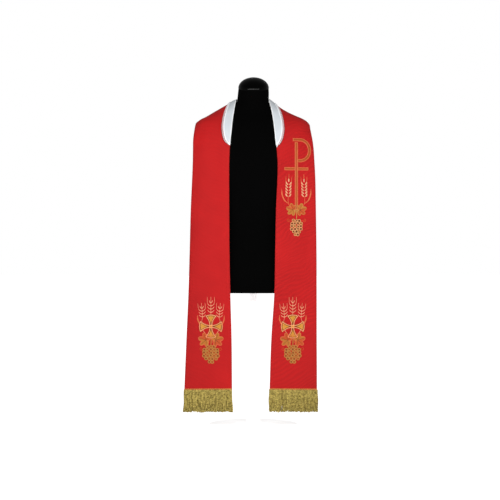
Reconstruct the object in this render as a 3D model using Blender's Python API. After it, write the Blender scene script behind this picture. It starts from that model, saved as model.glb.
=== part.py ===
"""A clerical stole hung round the neck of a limbless dress form, on its stand.

Metres, +Z up, the front faces -Y and +X is the wearer's left. The tables below are in millimetres.
The origin is the centre of the stand's underside.
"""

import itertools
import math
from collections import namedtuple

import bmesh
import bpy
import numpy as np
from mathutils import Vector
from mathutils.bvhtree import BVHTree

MM = 0.001
SEAM_GAP = 0.3
RIGHT, LEFT = -1, 1

# The form's torso, as level rings from the hips to the neck. right and left are half-widths along X: the
# left shoulder slopes a little more. front and back are depths from the shoulder line, power shapes the
# ring (2 is an ellipse) and slant tips it, in rise per depth.
FormRing = namedtuple("FormRing", "height right left front back power slant")
FORM_RINGS = (
    FormRing(481.5, 168, 168, 100, 104, 2.4, 0),
    FormRing(560, 170, 170, 104, 110, 2.4, 0),
    FormRing(666, 153, 153, 97, 90, 2.4, 0),
    FormRing(760, 160, 160, 102, 95, 2.4, 0),
    FormRing(860, 174, 174, 113, 106, 2.4, 0),
    FormRing(930, 184, 184, 119, 112, 2.4, 0),
    FormRing(985, 193, 193, 117, 113, 2.35, 0),
    FormRing(1020, 200, 200, 111, 110, 2.3, 0),
    FormRing(1050, 204, 204, 102, 104, 2.3, 0),
    FormRing(1070, 204, 203, 93, 97, 2.3, 0),
    FormRing(1080, 202.5, 199, 88, 93, 2.25, 0),
    FormRing(1087, 199.5, 193.5, 84, 90, 2.25, 0),
    FormRing(1093, 194, 187, 80, 87, 2.2, 0),
    FormRing(1099, 185, 177, 77, 85, 2.2, 0),
    FormRing(1110, 160, 152, 71, 80, 2.2, 0),
    FormRing(1128, 125, 111, 63, 73, 2.2, 0),
    FormRing(1146, 89, 76, 58, 66, 2.1, 0),
    FormRing(1158, 66, 61, 56, 61, 2.1, 0.02),
    FormRing(1166, 59, 56.5, 55, 58, 2.0, 0.05),
    FormRing(1177, 57, 55.5, 54, 55, 2.0, 0.1),
    FormRing(1196, 55, 55.8, 54, 53, 2.0, 0.2),
    FormRing(1212, 53, 55, 54, 52, 2.0, 0.3),
)
FORM_RING_COUNT = 34
FORM_POINTS = 36

NECK_CAP_OVERHANG = 0.8
NECK_CAP_RIM = 2
NECK_CAP_DOME = 37
NECK_CAP_TURNS = (0, 12, 26, 40, 54, 68, 80)

POLE_RADIUS = 12.5
BASE_RADIUS = 160
BASE_EDGE_RADIUS = 5
BASE_THICKNESS = 14
BASE_RIM_STEPS = 3
BASE_FOOT_EDGE = 1
BASE_HUB_RADIUS = 24
BASE_HUB_HEIGHT = 34
BASE_HUB_EDGE = 2
BASE_HUB_SWEEP = ((8, 1), (2, 4), (0, 9))
ROUND_SEGMENTS = 48
SHARP_EDGE_DEGREES = 40

# One half of the stole, from the seam at the nape over the shoulder to the hem. Each row is a line across
# the strip, from its edge at the neck (in_) to its outer edge (out_); X is given for each side, away from
# the middle, and left_sag is how far the left row hangs below a straight line. steps is the number of
# grid rows since the row before, band the width that the neck band covers, and inner_columns the width of
# the first columns, which are the band's own where it lies.
StoleRow = namedtuple(
    "StoleRow",
    "steps right_in_x right_out_x left_in_x left_out_x left_sag in_y in_z out_y out_z band inner_columns",
)
STOLE_ROWS = (
    StoleRow(0, 0, 0, 0, 0, 0, 66, 1152, 114, 1010, 32, 32),
    StoleRow(4, 26, 58, 26, 58, 0, 61, 1157, 112, 1018, 32, 32),
    StoleRow(4, 46, 112, 46, 112, 2, 43, 1163, 101, 1037, 32, 32),
    StoleRow(5, 58.5, 164, 57, 162, 7, 20, 1170, 68, 1066, 31, 31),
    StoleRow(5, 60, 204, 57, 193, 10.5, 2, 1171.5, 12, 1089.5, 29, 29),
    StoleRow(3, 61.5, 207, 55.5, 198.5, 8.5, -18, 1166, -10, 1080, 29.5, 29.5),
    StoleRow(4, 67, 209.5, 62.5, 203, 2, -52, 1138, -28, 1063, 32, 32),
    StoleRow(4, 73, 212.2, 69.5, 206.5, 0, -75, 1100, -43, 1042, 33, 33),
    StoleRow(4, 78, 214.2, 75.3, 210.6, 0, -99, 1051, -56, 1016, 27.5, 27.5),
    StoleRow(2, 80.5, 214.2, 77.8, 212.2, 0, -107, 1024, -60, 1002, 18, 20),
    StoleRow(2, 82.2, 214.3, 80.5, 213.5, 0, -111, 1000, -64, 988, 3, 14),
    StoleRow(3, 84.5, 214.8, 84.6, 215.6, 0, -113.5, 950, -70, 948, 0, 26),
    StoleRow(3, 85, 217.2, 84.2, 218.7, 0, -114, 880, -76, 880, 0, 40),
    StoleRow(3, 84.7, 220.4, 80.6, 219.9, 0, -114, 809, -80, 809, 0, 48),
    StoleRow(4, 83.8, 225, 76.4, 222.3, 0, -114, 634, -85, 634, 0, 54),
    StoleRow(3, 81, 228.7, 73.7, 222.7, 0, -113.5, 494, -88, 494, 0, 58),
    StoleRow(4, 76.2, 235.6, 62.6, 222.7, 0, -113, 320, -91, 320, 0, 61),
    StoleRow(4, 74.8, 242.6, 56.8, 223.3, 0, -112, 149.5, -94, 146.5, 0, 64),
)
INNER_COLUMNS = 3
OUTER_COLUMNS = 5
CLOTH_THICKNESS = 2
CLOTH_CLEARANCE = 1
TAUTENING_STEPS = 40
FACE_CLEARANCE = 0.9
EASING_STEPS = 10
EASING_SHARES = (0.25, 0.5, 0.75)

BAND_THICKNESS = 1
BAND_GAP = 0.6

LACE_THICKNESS = 0.8
LACE_PICOT = 7.3
LACE_VALLEY = 3.2
LACE_PEAK = 6.2
LACE_POINTS_PER_PICOT = 3
LACE_END_WIDTH = 5
BAND_END_WIDTH = 1.6

FRINGE_HEADING = 5
FRINGE_THICKNESS = 6
FRINGE_LENGTH = 78
FRINGE_UNEVENNESS = 2.5
FRINGE_UNEVEN_TURNS = (2.4, 1.7)
FRINGE_SWAY = 0.5
FRINGE_SWAY_TURN = 1.3
FRINGE_SPLAY = 4
FRINGE_PITCH = 3.5
FRINGE_ROWS = 2
STRAND_TAPER = 0.66


def smooth_table(knots, values, places):
    """The values of a table at any places, on a smooth curve through its rows."""
    slopes = np.gradient(values, knots, axis=0)
    before = np.clip(np.searchsorted(knots, places, side="right") - 1, 0, len(knots) - 2)
    span = (knots[before + 1] - knots[before])[:, None]
    t = (places - knots[before])[:, None] / span
    return (
        (1 + 2 * t) * (1 - t) ** 2 * values[before]
        + t * (1 - t) ** 2 * span * slopes[before]
        + t**2 * (3 - 2 * t) * values[before + 1]
        + t**2 * (t - 1) * span * slopes[before + 1]
    )


def material(name, colour, roughness, metallic=0.0):
    """A plain material for one object."""
    made = bpy.data.materials.new(name)
    made.use_nodes = True
    shader = made.node_tree.nodes["Principled BSDF"]
    shader.inputs["Base Color"].default_value = (*colour, 1)
    shader.inputs["Roughness"].default_value = roughness
    shader.inputs["Metallic"].default_value = metallic
    return made


def add_object(name, mesh_builder, finish, smooth=True):
    """An object from a bmesh, with its faces turned outwards."""
    bmesh.ops.recalc_face_normals(mesh_builder, faces=mesh_builder.faces)
    mesh = bpy.data.meshes.new(name)
    mesh_builder.to_mesh(mesh)
    mesh_builder.free()
    if smooth:
        mesh.shade_smooth()
        mesh.set_sharp_from_angle(angle=math.radians(SHARP_EDGE_DEGREES))
    mesh.materials.append(finish)
    made = bpy.data.objects.new(name, mesh)
    bpy.context.scene.collection.objects.link(made)
    return made


def ring_points(ring):
    """The points of one ring of the form, in millimetres."""
    points = []
    for k in range(FORM_POINTS):
        turn = 2 * math.pi * k / FORM_POINTS
        across, along = math.cos(turn), math.sin(turn)
        reach = ring.left if across > 0 else ring.right
        x = reach * math.copysign(abs(across) ** (2 / ring.power), across)
        depth = ring.back if along > 0 else ring.front
        y = depth * math.copysign(abs(along) ** (2 / ring.power), along)
        points.append(Vector((x, y, ring.height + ring.slant * y)))
    return points


def form_rings():
    """The form's rings, close together where its width changes fast."""
    table = np.array(FORM_RINGS, dtype=float)
    reach = np.hypot(np.diff(table[:, 0]), np.diff(table[:, 1]))
    knots = np.concatenate([[0], np.cumsum(reach)])
    places = np.linspace(0, knots[-1], FORM_RING_COUNT)
    return [FormRing(*row) for row in smooth_table(knots, table, places)]


def lofted(rings):
    """A closed bmesh through rings of points, in millimetres, with a flat cap on both ends."""
    built = bmesh.new()
    loops = [[built.verts.new(point * MM) for point in ring] for ring in rings]
    for lower, upper in zip(loops, loops[1:]):
        for k in range(len(lower)):
            following = (k + 1) % len(lower)
            built.faces.new((lower[k], lower[following], upper[following], upper[k]))
    built.faces.new(loops[0])
    built.faces.new(loops[-1])
    return built


def add_form_torso(rings):
    """The torso: a smooth general figure, cut level at the hips and slanted at the neck."""
    black = material("form_black_jersey", (0.004, 0.004, 0.005), 0.75)
    return add_object("form_torso", lofted([ring_points(ring) for ring in rings]), black)


def add_neck_cap(top_ring):
    """The glossy domed cap on the slanted neck, above a low upright rim."""
    slant = math.atan(top_ring.slant)
    upwards = Vector((0, -math.sin(slant), math.cos(slant)))
    neck = ring_points(top_ring)
    middle = sum(neck, Vector()) / len(neck)
    rim = [point + (point - middle).normalized() * NECK_CAP_OVERHANG for point in neck]
    rings = [[point + upwards * SEAM_GAP for point in rim]]
    for degrees in NECK_CAP_TURNS:
        turn = math.radians(degrees)
        rise = SEAM_GAP + NECK_CAP_RIM + NECK_CAP_DOME * math.sin(turn)
        rings.append([middle + (point - middle) * math.cos(turn) + upwards * rise for point in rim])
    gloss = material("form_cap_black_gloss", (0.01, 0.01, 0.011), 0.12)
    return add_object("form_neck_cap", lofted(rings), gloss)


def add_stand_pole(top):
    """The pole, from the base's hub to the underside of the torso."""
    bottom = BASE_HUB_HEIGHT + SEAM_GAP
    length = top - SEAM_GAP - bottom
    built = bmesh.new()
    bmesh.ops.create_cone(
        built,
        cap_ends=True,
        segments=ROUND_SEGMENTS // 2,
        radius1=POLE_RADIUS * MM,
        radius2=POLE_RADIUS * MM,
        depth=length * MM,
    )
    pole = add_object("stand_pole", built, material("stand_pole_white_enamel", (0.8, 0.8, 0.8), 0.3))
    pole.location.z = (bottom + length / 2) * MM
    return pole


def add_stand_base():
    """The round base: a flat plate with an eased rim, rising to a hub for the pole."""
    profile = [(0, 0), (BASE_RADIUS - BASE_FOOT_EDGE, 0), (BASE_RADIUS, BASE_FOOT_EDGE)]
    for step in range(BASE_RIM_STEPS + 1):
        turn = math.pi / 2 * step / BASE_RIM_STEPS
        profile.append(
            (
                BASE_RADIUS - BASE_EDGE_RADIUS * (1 - math.cos(turn)),
                BASE_THICKNESS - BASE_EDGE_RADIUS * (1 - math.sin(turn)),
            )
        )
    profile += [(BASE_HUB_RADIUS + reach, BASE_THICKNESS + rise) for reach, rise in BASE_HUB_SWEEP]
    profile += [
        (BASE_HUB_RADIUS, BASE_HUB_HEIGHT - BASE_HUB_EDGE),
        (BASE_HUB_RADIUS - BASE_HUB_EDGE, BASE_HUB_HEIGHT),
        (0, BASE_HUB_HEIGHT),
    ]
    built = bmesh.new()
    corners = [built.verts.new((radius * MM, 0, height * MM)) for radius, height in profile]
    edges = [built.edges.new(pair) for pair in zip(corners, corners[1:])]
    bmesh.ops.spin(
        built,
        geom=corners + edges,
        axis=(0, 0, 1),
        cent=(0, 0, 0),
        angle=2 * math.pi,
        steps=ROUND_SEGMENTS,
        use_merge=True,
    )
    bmesh.ops.remove_doubles(built, verts=built.verts, dist=1e-6)
    return add_object("stand_base", built, material("stand_base_white_enamel", (0.8, 0.8, 0.8), 0.3))


def pushed_clear(point, surface, clearance):
    """The point moved out of a surface, or off it, until it is the clearance away."""
    nearest, normal, _, distance = surface.find_nearest(point)
    outside = (point - nearest).dot(normal) >= 0
    if outside and distance >= clearance:
        return point
    away = (point - nearest) if outside else (nearest - point)
    away = away.normalized() if away.length > 1e-7 else normal
    return nearest + away * clearance


def shortfall(point, surface):
    """How far a point on a face, in millimetres, is short of its clearance from a surface."""
    moved = pushed_clear(Vector(point) * MM, surface, FACE_CLEARANCE * MM)
    return (moved - Vector(point) * MM).length / MM


def eased_off(grid, surface):
    """The grid moved out wherever a flat face between its points would come too near the form."""
    rows, columns = grid.shape[:2]
    for _ in range(EASING_STEPS):
        moves = np.zeros((rows, columns))
        for i, j in itertools.product(range(rows - 1), range(columns - 1)):
            corners = ((i, j), (i + 1, j), (i + 1, j + 1), (i, j + 1))
            for one, other in itertools.combinations(corners, 2):
                short = max(
                    shortfall(grid[one] * share + grid[other] * (1 - share), surface)
                    for share in EASING_SHARES
                )
                moves[one] = max(moves[one], short)
                moves[other] = max(moves[other], short)
        grid = grid + outward_normals(grid) * moves[..., None]
    return grid


def stole_rows(side):
    """The rows of one half of the stole: their ends, band widths, widths of inner columns and sags."""
    table = np.array(STOLE_ROWS, dtype=float)
    columns = {name: table[:, k] for k, name in enumerate(StoleRow._fields)}
    name = "left" if side == LEFT else "right"
    inner = np.stack([side * columns[name + "_in_x"], columns["in_y"], columns["in_z"]], axis=1)
    outer = np.stack([side * columns[name + "_out_x"], columns["out_y"], columns["out_z"]], axis=1)
    middle = (inner + outer) / 2
    knots = np.concatenate([[0], np.cumsum(np.linalg.norm(np.diff(middle, axis=0), axis=1))])
    places = [0.0]
    for start, end, steps in zip(knots, knots[1:], columns["steps"][1:].astype(int)):
        places += list(start + (end - start) * np.arange(1, steps + 1) / steps)
    sags = columns["left_sag"] * (side == LEFT)
    others = np.stack([columns["band"], columns["inner_columns"], sags], axis=1)
    smooth = smooth_table(knots, np.hstack([inner, outer, others]), np.array(places))
    smooth[0, [0, 3]] = side * SEAM_GAP / 2
    bands, inner_widths, sags = np.maximum(smooth[:, 6:], 0).T
    return smooth[:, :3], smooth[:, 3:6], bands, inner_widths, sags


def row_at(row, distances):
    """Points at given distances from the start of a row, measured along it."""
    lengths = np.concatenate([[0], np.cumsum(np.linalg.norm(np.diff(row, axis=0), axis=1))])
    return np.stack([np.interp(distances, lengths, row[:, axis]) for axis in range(3)], axis=1)


def column_places(row, inner_width):
    """The distances of a row's grid points from its inner edge."""
    length = np.linalg.norm(np.diff(row, axis=0), axis=1).sum()
    inner = np.linspace(0, inner_width, INNER_COLUMNS + 1)
    return np.concatenate([inner, np.linspace(inner_width, length, OUTER_COLUMNS + 1)[1:]])


def taut_row(start, end, inner_width, sag, surface):
    """A row pulled between its ends with a small sag, and held off the form, as stiff lined cloth lies."""
    count = 2 * (INNER_COLUMNS + OUTER_COLUMNS + 1)
    share = np.linspace(0, 1, count)
    line = np.linspace(start, end, count)
    line[:, 2] -= 4 * sag * share * (1 - share)
    row = [pushed_clear(Vector(point), surface, CLOTH_CLEARANCE * MM) for point in line * MM]
    weight = Vector((0, 0, 4 * sag / (count - 1) ** 2)) * MM
    for _ in range(TAUTENING_STEPS):
        relaxed = [(before + after) / 2 - weight for before, after in zip(row, row[2:])]
        row[1:-1] = [pushed_clear(point, surface, CLOTH_CLEARANCE * MM) for point in relaxed]
    row = np.array(row) / MM
    return row_at(row, column_places(row, inner_width))


def outward_normals(grid):
    """A unit normal at each point of a grid, on the side away from the form."""
    along, across = np.gradient(grid, axis=0), np.gradient(grid, axis=1)
    normals = np.cross(along, across)
    normals /= np.linalg.norm(normals, axis=2, keepdims=True)
    hem = normals[-1].mean(axis=0)
    return normals if hem[1] < 0 else -normals


def walled(lower, upper):
    """A closed bmesh between two grids of points, in millimetres: a sheet with a real thickness."""
    built = bmesh.new()
    rows, columns = lower.shape[:2]
    bottom, top = (
        [[built.verts.new(point * MM) for point in row] for row in grid] for grid in (lower, upper)
    )
    for i in range(rows - 1):
        for j in range(columns - 1):
            for grid in (bottom, top):
                built.faces.new((grid[i][j], grid[i + 1][j], grid[i + 1][j + 1], grid[i][j + 1]))
    for i in range(rows - 1):
        for j in (0, columns - 1):
            built.faces.new((bottom[i][j], bottom[i + 1][j], top[i + 1][j], top[i][j]))
    for j in range(columns - 1):
        for i in (0, rows - 1):
            built.faces.new((bottom[i][j], bottom[i][j + 1], top[i][j + 1], top[i][j]))
    return built


class StoleHalf:
    """The surfaces of one half of the stole, as grids of points from the nape to the hem."""

    def __init__(self, side, surface):
        self.side = side
        starts, ends, self.band_widths, inner_widths, sags = stole_rows(side)
        taut = [taut_row(*row, surface) for row in zip(starts, ends, inner_widths, sags)]
        self.under = eased_off(np.array(taut), surface)
        self.normals = outward_normals(self.under)
        self.face = self.under + self.normals * CLOTH_THICKNESS

    def on_face(self, place, distance, rise):
        """A point above the face: place counts rows from the nape, distance runs from the neck edge."""
        before = min(int(place), len(self.face) - 2)
        share = place - before
        found = []
        for grid in (self.face, self.normals):
            values = []
            for row in (before, before + 1):
                lengths = np.linalg.norm(np.diff(self.face[row], axis=0), axis=1)
                lengths = np.concatenate([[0], np.cumsum(lengths)])
                values.append([np.interp(distance, lengths, grid[row][:, axis]) for axis in range(3)])
            found.append(np.array(values[0]) * (1 - share) + np.array(values[1]) * share)
        point, normal = found
        return point + normal / np.linalg.norm(normal) * rise


def add_stole_half(name, half):
    """One half of the stole: the strip of lined cloth over one shoulder, front and back."""
    red = material(name + "_red_faille", (0.59, 0.022, 0.023), 0.7)
    return add_object(name, walled(half.under, half.face), red)


def along_both(halves, function):
    """Rows from one tip of the neck band round the nape to the other, made by a function of half and row."""
    right, left = (halves[side] for side in (RIGHT, LEFT))
    last = min(int(np.argmax(half.band_widths < BAND_END_WIDTH)) for half in (right, left)) - 1
    rows = [function(right, row) for row in range(last, 0, -1)]
    rows.append((function(right, 0) + function(left, 0)) / 2)
    return rows + [function(left, row) for row in range(1, last + 1)]


def add_neck_band(halves):
    """The washable white band that lies on the neck edge, a crescent that tapers to both tips."""

    def points(half, row, rise):
        places = np.linspace(0, half.band_widths[row], INNER_COLUMNS + 1)
        return np.array([half.on_face(row, place, rise) for place in places])

    grids = [
        along_both(halves, lambda half, row, rise=rise: points(half, row, rise))
        for rise in (BAND_GAP, BAND_GAP + BAND_THICKNESS)
    ]
    built = walled(*(np.array(grid) for grid in grids))
    return add_object("neck_band", built, material("neck_band_white_satin", (0.75, 0.77, 0.8), 0.45))


def lace_places(half):
    """Places along one half at even steps of the band's outer edge, from the nape to the tip."""
    rows = np.arange(int(np.argmax(half.band_widths < LACE_END_WIDTH)) + 1)
    edge = np.array([half.on_face(row, half.band_widths[row], 0) for row in rows])
    lengths = np.concatenate([[0], np.cumsum(np.linalg.norm(np.diff(edge, axis=0), axis=1))])
    picots = round(lengths[-1] / LACE_PICOT)
    steps = np.linspace(0, lengths[-1], picots * LACE_POINTS_PER_PICOT + 1)
    return np.interp(steps, lengths, rows)


def add_neck_band_lace(halves):
    """The picot edging outside the band: a narrow strip whose outer edge runs in small teeth."""

    def edge_points(half, index, place, rise):
        width = np.interp(place, np.arange(len(half.band_widths)), half.band_widths)
        depth = LACE_VALLEY if index % LACE_POINTS_PER_PICOT == 0 else LACE_PEAK
        return [
            half.on_face(place, width + SEAM_GAP, rise),
            half.on_face(place, width + depth, rise),
        ]

    grids = []
    for rise in (BAND_GAP, BAND_GAP + LACE_THICKNESS):
        sides = {
            side: [edge_points(half, k, place, rise) for k, place in enumerate(lace_places(half))]
            for side, half in halves.items()
        }
        nape = (np.array(sides[RIGHT][0]) + np.array(sides[LEFT][0])) / 2
        grids.append(np.array(sides[RIGHT][:0:-1] + [nape] + sides[LEFT][1:]))
    built = walled(*grids)
    return add_object("neck_band_lace", built, material("neck_band_white_lace", (0.78, 0.79, 0.8), 0.8))


def add_fringe(name, half):
    """Gold fringe: a heading just under the hem, and strands that taper apart below it."""
    hem = (half.under[-1] + half.face[-1]) / 2
    length = np.linalg.norm(np.diff(hem, axis=0), axis=1).sum()
    count = round(length / FRINGE_PITCH)
    line = row_at(hem, np.linspace(0, length, count + 1))
    along = np.array([hem[-1][0] - hem[0][0], hem[-1][1] - hem[0][1], 0])
    along /= np.linalg.norm(along)
    across = np.array([along[1], -along[0], 0])
    offsets = np.linspace(-0.5, 0.5, FRINGE_ROWS + 1) * FRINGE_THICKNESS
    built = bmesh.new()

    def corner(point, offset, drop):
        return built.verts.new(Vector(point + across * offset - np.array([0, 0, drop])) * MM)

    top = [[corner(point, offset, SEAM_GAP) for offset in offsets[[0, -1]]] for point in line]
    root = [[corner(point, offset, SEAM_GAP + FRINGE_HEADING) for offset in offsets] for point in line]
    for i in range(count):
        built.faces.new((top[i][0], top[i][1], top[i + 1][1], top[i + 1][0]))
        built.faces.new((top[i][0], root[i][0], root[i + 1][0], top[i + 1][0]))
        built.faces.new((top[i][1], root[i][-1], root[i + 1][-1], top[i + 1][1]))
    for i in (0, count):
        built.faces.new((top[i][0], *root[i], top[i][1]))
    for i in range(count):
        for j in range(FRINGE_ROWS):
            cell = (root[i][j], root[i + 1][j], root[i + 1][j + 1], root[i][j + 1])
            middle = sum((vertex.co for vertex in cell), Vector()) / 4
            uneven = math.sin(FRINGE_UNEVEN_TURNS[0] * i + FRINGE_UNEVEN_TURNS[1] * j)
            splay = FRINGE_SPLAY * (2 * (i + 0.5) / count - 1)
            sway = FRINGE_SWAY * math.sin(FRINGE_SWAY_TURN * i + j)
            drop = FRINGE_LENGTH + FRINGE_UNEVENNESS * uneven
            shift = Vector(along * (splay + sway) - np.array([0, 0, drop])) * MM
            tip = [
                built.verts.new(middle + (vertex.co - middle) * STRAND_TAPER + shift) for vertex in cell
            ]
            built.faces.new(tip)
            for k in range(4):
                following = (k + 1) % 4
                built.faces.new((cell[k], cell[following], tip[following], tip[k]))
    return add_object(name, built, material(name + "_gold_bullion", (0.36, 0.26, 0.07), 0.45, 0.6), False)


def main():
    """Builds the whole part, from the form outwards."""
    for old in list(bpy.data.objects):
        bpy.data.objects.remove(old)
    rings = form_rings()
    torso = add_form_torso(rings)
    add_neck_cap(rings[-1])
    add_stand_pole(rings[0].height)
    add_stand_base()
    torso.data.calc_loop_triangles()
    points = [vertex.co.copy() for vertex in torso.data.vertices]
    triangles = [tuple(triangle.vertices) for triangle in torso.data.loop_triangles]
    surface = BVHTree.FromPolygons(points, triangles)
    halves = {side: StoleHalf(side, surface) for side in (RIGHT, LEFT)}
    add_stole_half("stole_half_right", halves[RIGHT])
    add_stole_half("stole_half_left", halves[LEFT])
    add_neck_band(halves)
    add_neck_band_lace(halves)
    add_fringe("fringe_right", halves[RIGHT])
    add_fringe("fringe_left", halves[LEFT])


main()
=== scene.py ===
"""A clerical stole on a limbless dress form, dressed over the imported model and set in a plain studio.

Sizes are in millimetres, and become metres where a mesh is made. +X is the wearer's left, -Y is the
front and +Z is up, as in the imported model.
"""

import logging
import math
from dataclasses import dataclass, field
from enum import Enum, IntEnum
from typing import Any, Callable, NamedTuple, Sequence

import bpy
import numpy as np
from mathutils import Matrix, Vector
from mathutils.bvhtree import BVHTree


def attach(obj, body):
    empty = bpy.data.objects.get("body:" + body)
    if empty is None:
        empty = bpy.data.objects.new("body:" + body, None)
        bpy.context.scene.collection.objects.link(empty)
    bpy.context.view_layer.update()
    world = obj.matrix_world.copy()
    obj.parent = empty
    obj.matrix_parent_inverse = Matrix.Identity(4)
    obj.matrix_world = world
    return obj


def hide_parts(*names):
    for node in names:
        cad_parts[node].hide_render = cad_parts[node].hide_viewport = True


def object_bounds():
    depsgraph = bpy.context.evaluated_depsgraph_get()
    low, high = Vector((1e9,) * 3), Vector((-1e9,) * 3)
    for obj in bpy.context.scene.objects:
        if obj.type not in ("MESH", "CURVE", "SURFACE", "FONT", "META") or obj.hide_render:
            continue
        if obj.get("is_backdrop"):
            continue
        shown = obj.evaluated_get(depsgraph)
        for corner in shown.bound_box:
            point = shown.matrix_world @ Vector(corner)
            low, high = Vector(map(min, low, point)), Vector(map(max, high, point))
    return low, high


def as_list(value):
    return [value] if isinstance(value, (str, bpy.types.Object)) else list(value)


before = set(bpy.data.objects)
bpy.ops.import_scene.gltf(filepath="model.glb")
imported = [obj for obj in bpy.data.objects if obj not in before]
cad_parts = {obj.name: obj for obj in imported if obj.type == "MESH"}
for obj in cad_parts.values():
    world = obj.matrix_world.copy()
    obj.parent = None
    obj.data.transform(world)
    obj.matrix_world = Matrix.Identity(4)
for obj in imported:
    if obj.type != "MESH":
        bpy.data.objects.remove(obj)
cad_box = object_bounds()

log = logging.getLogger("stole")

MM = 0.001
BODY = "root"
SEAM_GAP = 0.3
# Each half's pattern is drawn this far to its side, so that the two halves differ.
DYE_LOT = 400
STRIP = "strip"
TONE = "tone"
Tree = bpy.types.NodeTree
Node = bpy.types.Node
Socket = bpy.types.NodeSocket
Piece = bpy.types.Object
Array = np.ndarray
Amount = float | Array
Strip = Array | None
Points = Sequence[Sequence[float]]
Placed = tuple[Sequence[float], float]


class Side(IntEnum):
    """The wearer's side: the sign of X."""

    RIGHT = -1
    LEFT = 1

    @property
    def word(self) -> str:
        """The side as the pieces' names have it."""
        return self.name.lower()


class FormRing(NamedTuple):
    """One level ring of the torso: its reach each way, its squareness and its rise per depth.

    The left shoulder slopes a little more than the right.
    """

    height: float
    right: float
    left: float
    front: float
    back: float
    power: float
    slant: float


FORM_RINGS = (
    FormRing(481.5, 168, 168, 100, 104, 2.4, 0),
    FormRing(560, 170, 170, 104, 110, 2.4, 0),
    FormRing(666, 153, 153, 97, 90, 2.4, 0),
    FormRing(760, 160, 160, 102, 95, 2.4, 0),
    FormRing(860, 174, 174, 113, 106, 2.4, 0),
    FormRing(930, 184, 184, 119, 112, 2.4, 0),
    FormRing(985, 193, 193, 117, 113, 2.35, 0),
    FormRing(1020, 200, 200, 111, 110, 2.3, 0),
    FormRing(1050, 204, 204, 102, 104, 2.3, 0),
    FormRing(1070, 204, 203, 93, 97, 2.3, 0),
    FormRing(1080, 202.5, 199, 88, 93, 2.25, 0),
    FormRing(1087, 199.5, 193.5, 84, 90, 2.25, 0),
    FormRing(1093, 194, 187, 80, 87, 2.2, 0),
    FormRing(1099, 185, 177, 77, 85, 2.2, 0),
    FormRing(1110, 160, 152, 71, 80, 2.2, 0),
    FormRing(1128, 125, 111, 63, 73, 2.2, 0),
    FormRing(1146, 89, 76, 58, 66, 2.1, 0),
    FormRing(1158, 66, 61, 56, 61, 2.1, 0.02),
    FormRing(1166, 59, 56.5, 55, 58, 2.0, 0.05),
    FormRing(1177, 57, 55.5, 54, 55, 2.0, 0.1),
    FormRing(1196, 55, 55.8, 54, 53, 2.0, 0.2),
    FormRing(1212, 53, 55, 54, 52, 2.0, 0.3),
)


class StoleRow(NamedTuple):
    """A line across one half of the stole, from its neck edge (in_) to its outer edge (out_).

    steps counts the rows pulled taut since the line before, and X is given for each side away from the
    middle. left_sag is how far the left line hangs below a straight one, and band is the width that the
    white neck band covers.
    """

    steps: int
    right_in_x: float
    right_out_x: float
    left_in_x: float
    left_out_x: float
    left_sag: float
    in_y: float
    in_z: float
    out_y: float
    out_z: float
    band: float


STOLE_ROWS = (
    StoleRow(0, 0, 0, 0, 0, 0, 66, 1152, 114, 1010, 32),
    StoleRow(4, 26, 58, 26, 58, 0, 61, 1157, 112, 1018, 32),
    StoleRow(4, 46, 112, 46, 112, 2, 43, 1163, 101, 1037, 32),
    StoleRow(5, 58.5, 164, 57, 162, 7, 20, 1170, 68, 1066, 31),
    StoleRow(5, 60, 204, 57, 193, 10.5, 2, 1171.5, 12, 1089.5, 29),
    StoleRow(3, 61.5, 207, 55.5, 198.5, 8.5, -18, 1166, -10, 1080, 29.5),
    StoleRow(4, 67, 209.5, 62.5, 203, 2, -52, 1138, -28, 1063, 32),
    StoleRow(4, 73, 212.2, 69.5, 206.5, 0, -75, 1100, -43, 1042, 33),
    StoleRow(4, 78, 214.2, 75.3, 210.6, 0, -99, 1051, -56, 1016, 27.5),
    StoleRow(2, 80.5, 214.2, 77.8, 212.2, 0, -107, 1024, -60, 1002, 18),
    StoleRow(2, 82.2, 214.3, 80.5, 213.5, 0, -111, 1000, -64, 988, 3),
    StoleRow(3, 84.5, 214.8, 84.6, 215.6, 0, -113.5, 950, -70, 948, 0),
    StoleRow(3, 85, 217.2, 84.2, 218.7, 0, -114, 880, -76, 880, 0),
    StoleRow(3, 84.7, 220.4, 80.6, 219.9, 0, -114, 809, -80, 809, 0),
    StoleRow(4, 83.8, 225, 76.4, 222.3, 0, -114, 634, -85, 634, 0),
    StoleRow(3, 81, 228.7, 73.7, 222.7, 0, -113.5, 494, -88, 494, 0),
    StoleRow(4, 76.2, 235.6, 62.6, 222.7, 0, -113, 320, -91, 320, 0),
    StoleRow(4, 74.8, 242.6, 56.8, 223.3, 0, -112, 149.5, -94, 146.5, 0),
)


class SoftFold(NamedTuple):
    """A soft ridge, trough or patch: its middle, its reach each way and its height, in millimetres."""

    along: float
    across: float
    length: float
    width: float
    height: float
    lean: float


SOFT_FOLDS: dict[Side, tuple[SoftFold, ...]] = {
    Side.RIGHT: (
        SoftFold(330, 100, 70, 26, 1.6, 0.15),
        SoftFold(455, 48, 95, 22, -1.2, -0.10),
        SoftFold(610, 108, 150, 30, 2.2, 0.06),
        SoftFold(760, 40, 120, 24, -1.4, 0.08),
        SoftFold(905, 92, 140, 28, -2.0, -0.07),
        SoftFold(1040, 120, 110, 26, 1.7, 0.10),
        SoftFold(1130, 50, 90, 30, 1.8, -0.12),
        SoftFold(700, 150, 330, 24, -5.0, 0.05),
    ),
    Side.LEFT: (
        SoftFold(345, 46, 80, 24, -1.2, -0.12),
        SoftFold(430, 110, 70, 22, 1.5, 0.18),
        SoftFold(590, 66, 140, 30, 1.3, 0.05),
        SoftFold(740, 116, 130, 24, -1.8, -0.06),
        SoftFold(880, 44, 150, 26, 2.0, 0.07),
        SoftFold(1060, 96, 95, 24, -1.6, 0.16),
        SoftFold(1150, 136, 80, 26, 2.1, -0.15),
    ),
}
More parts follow.
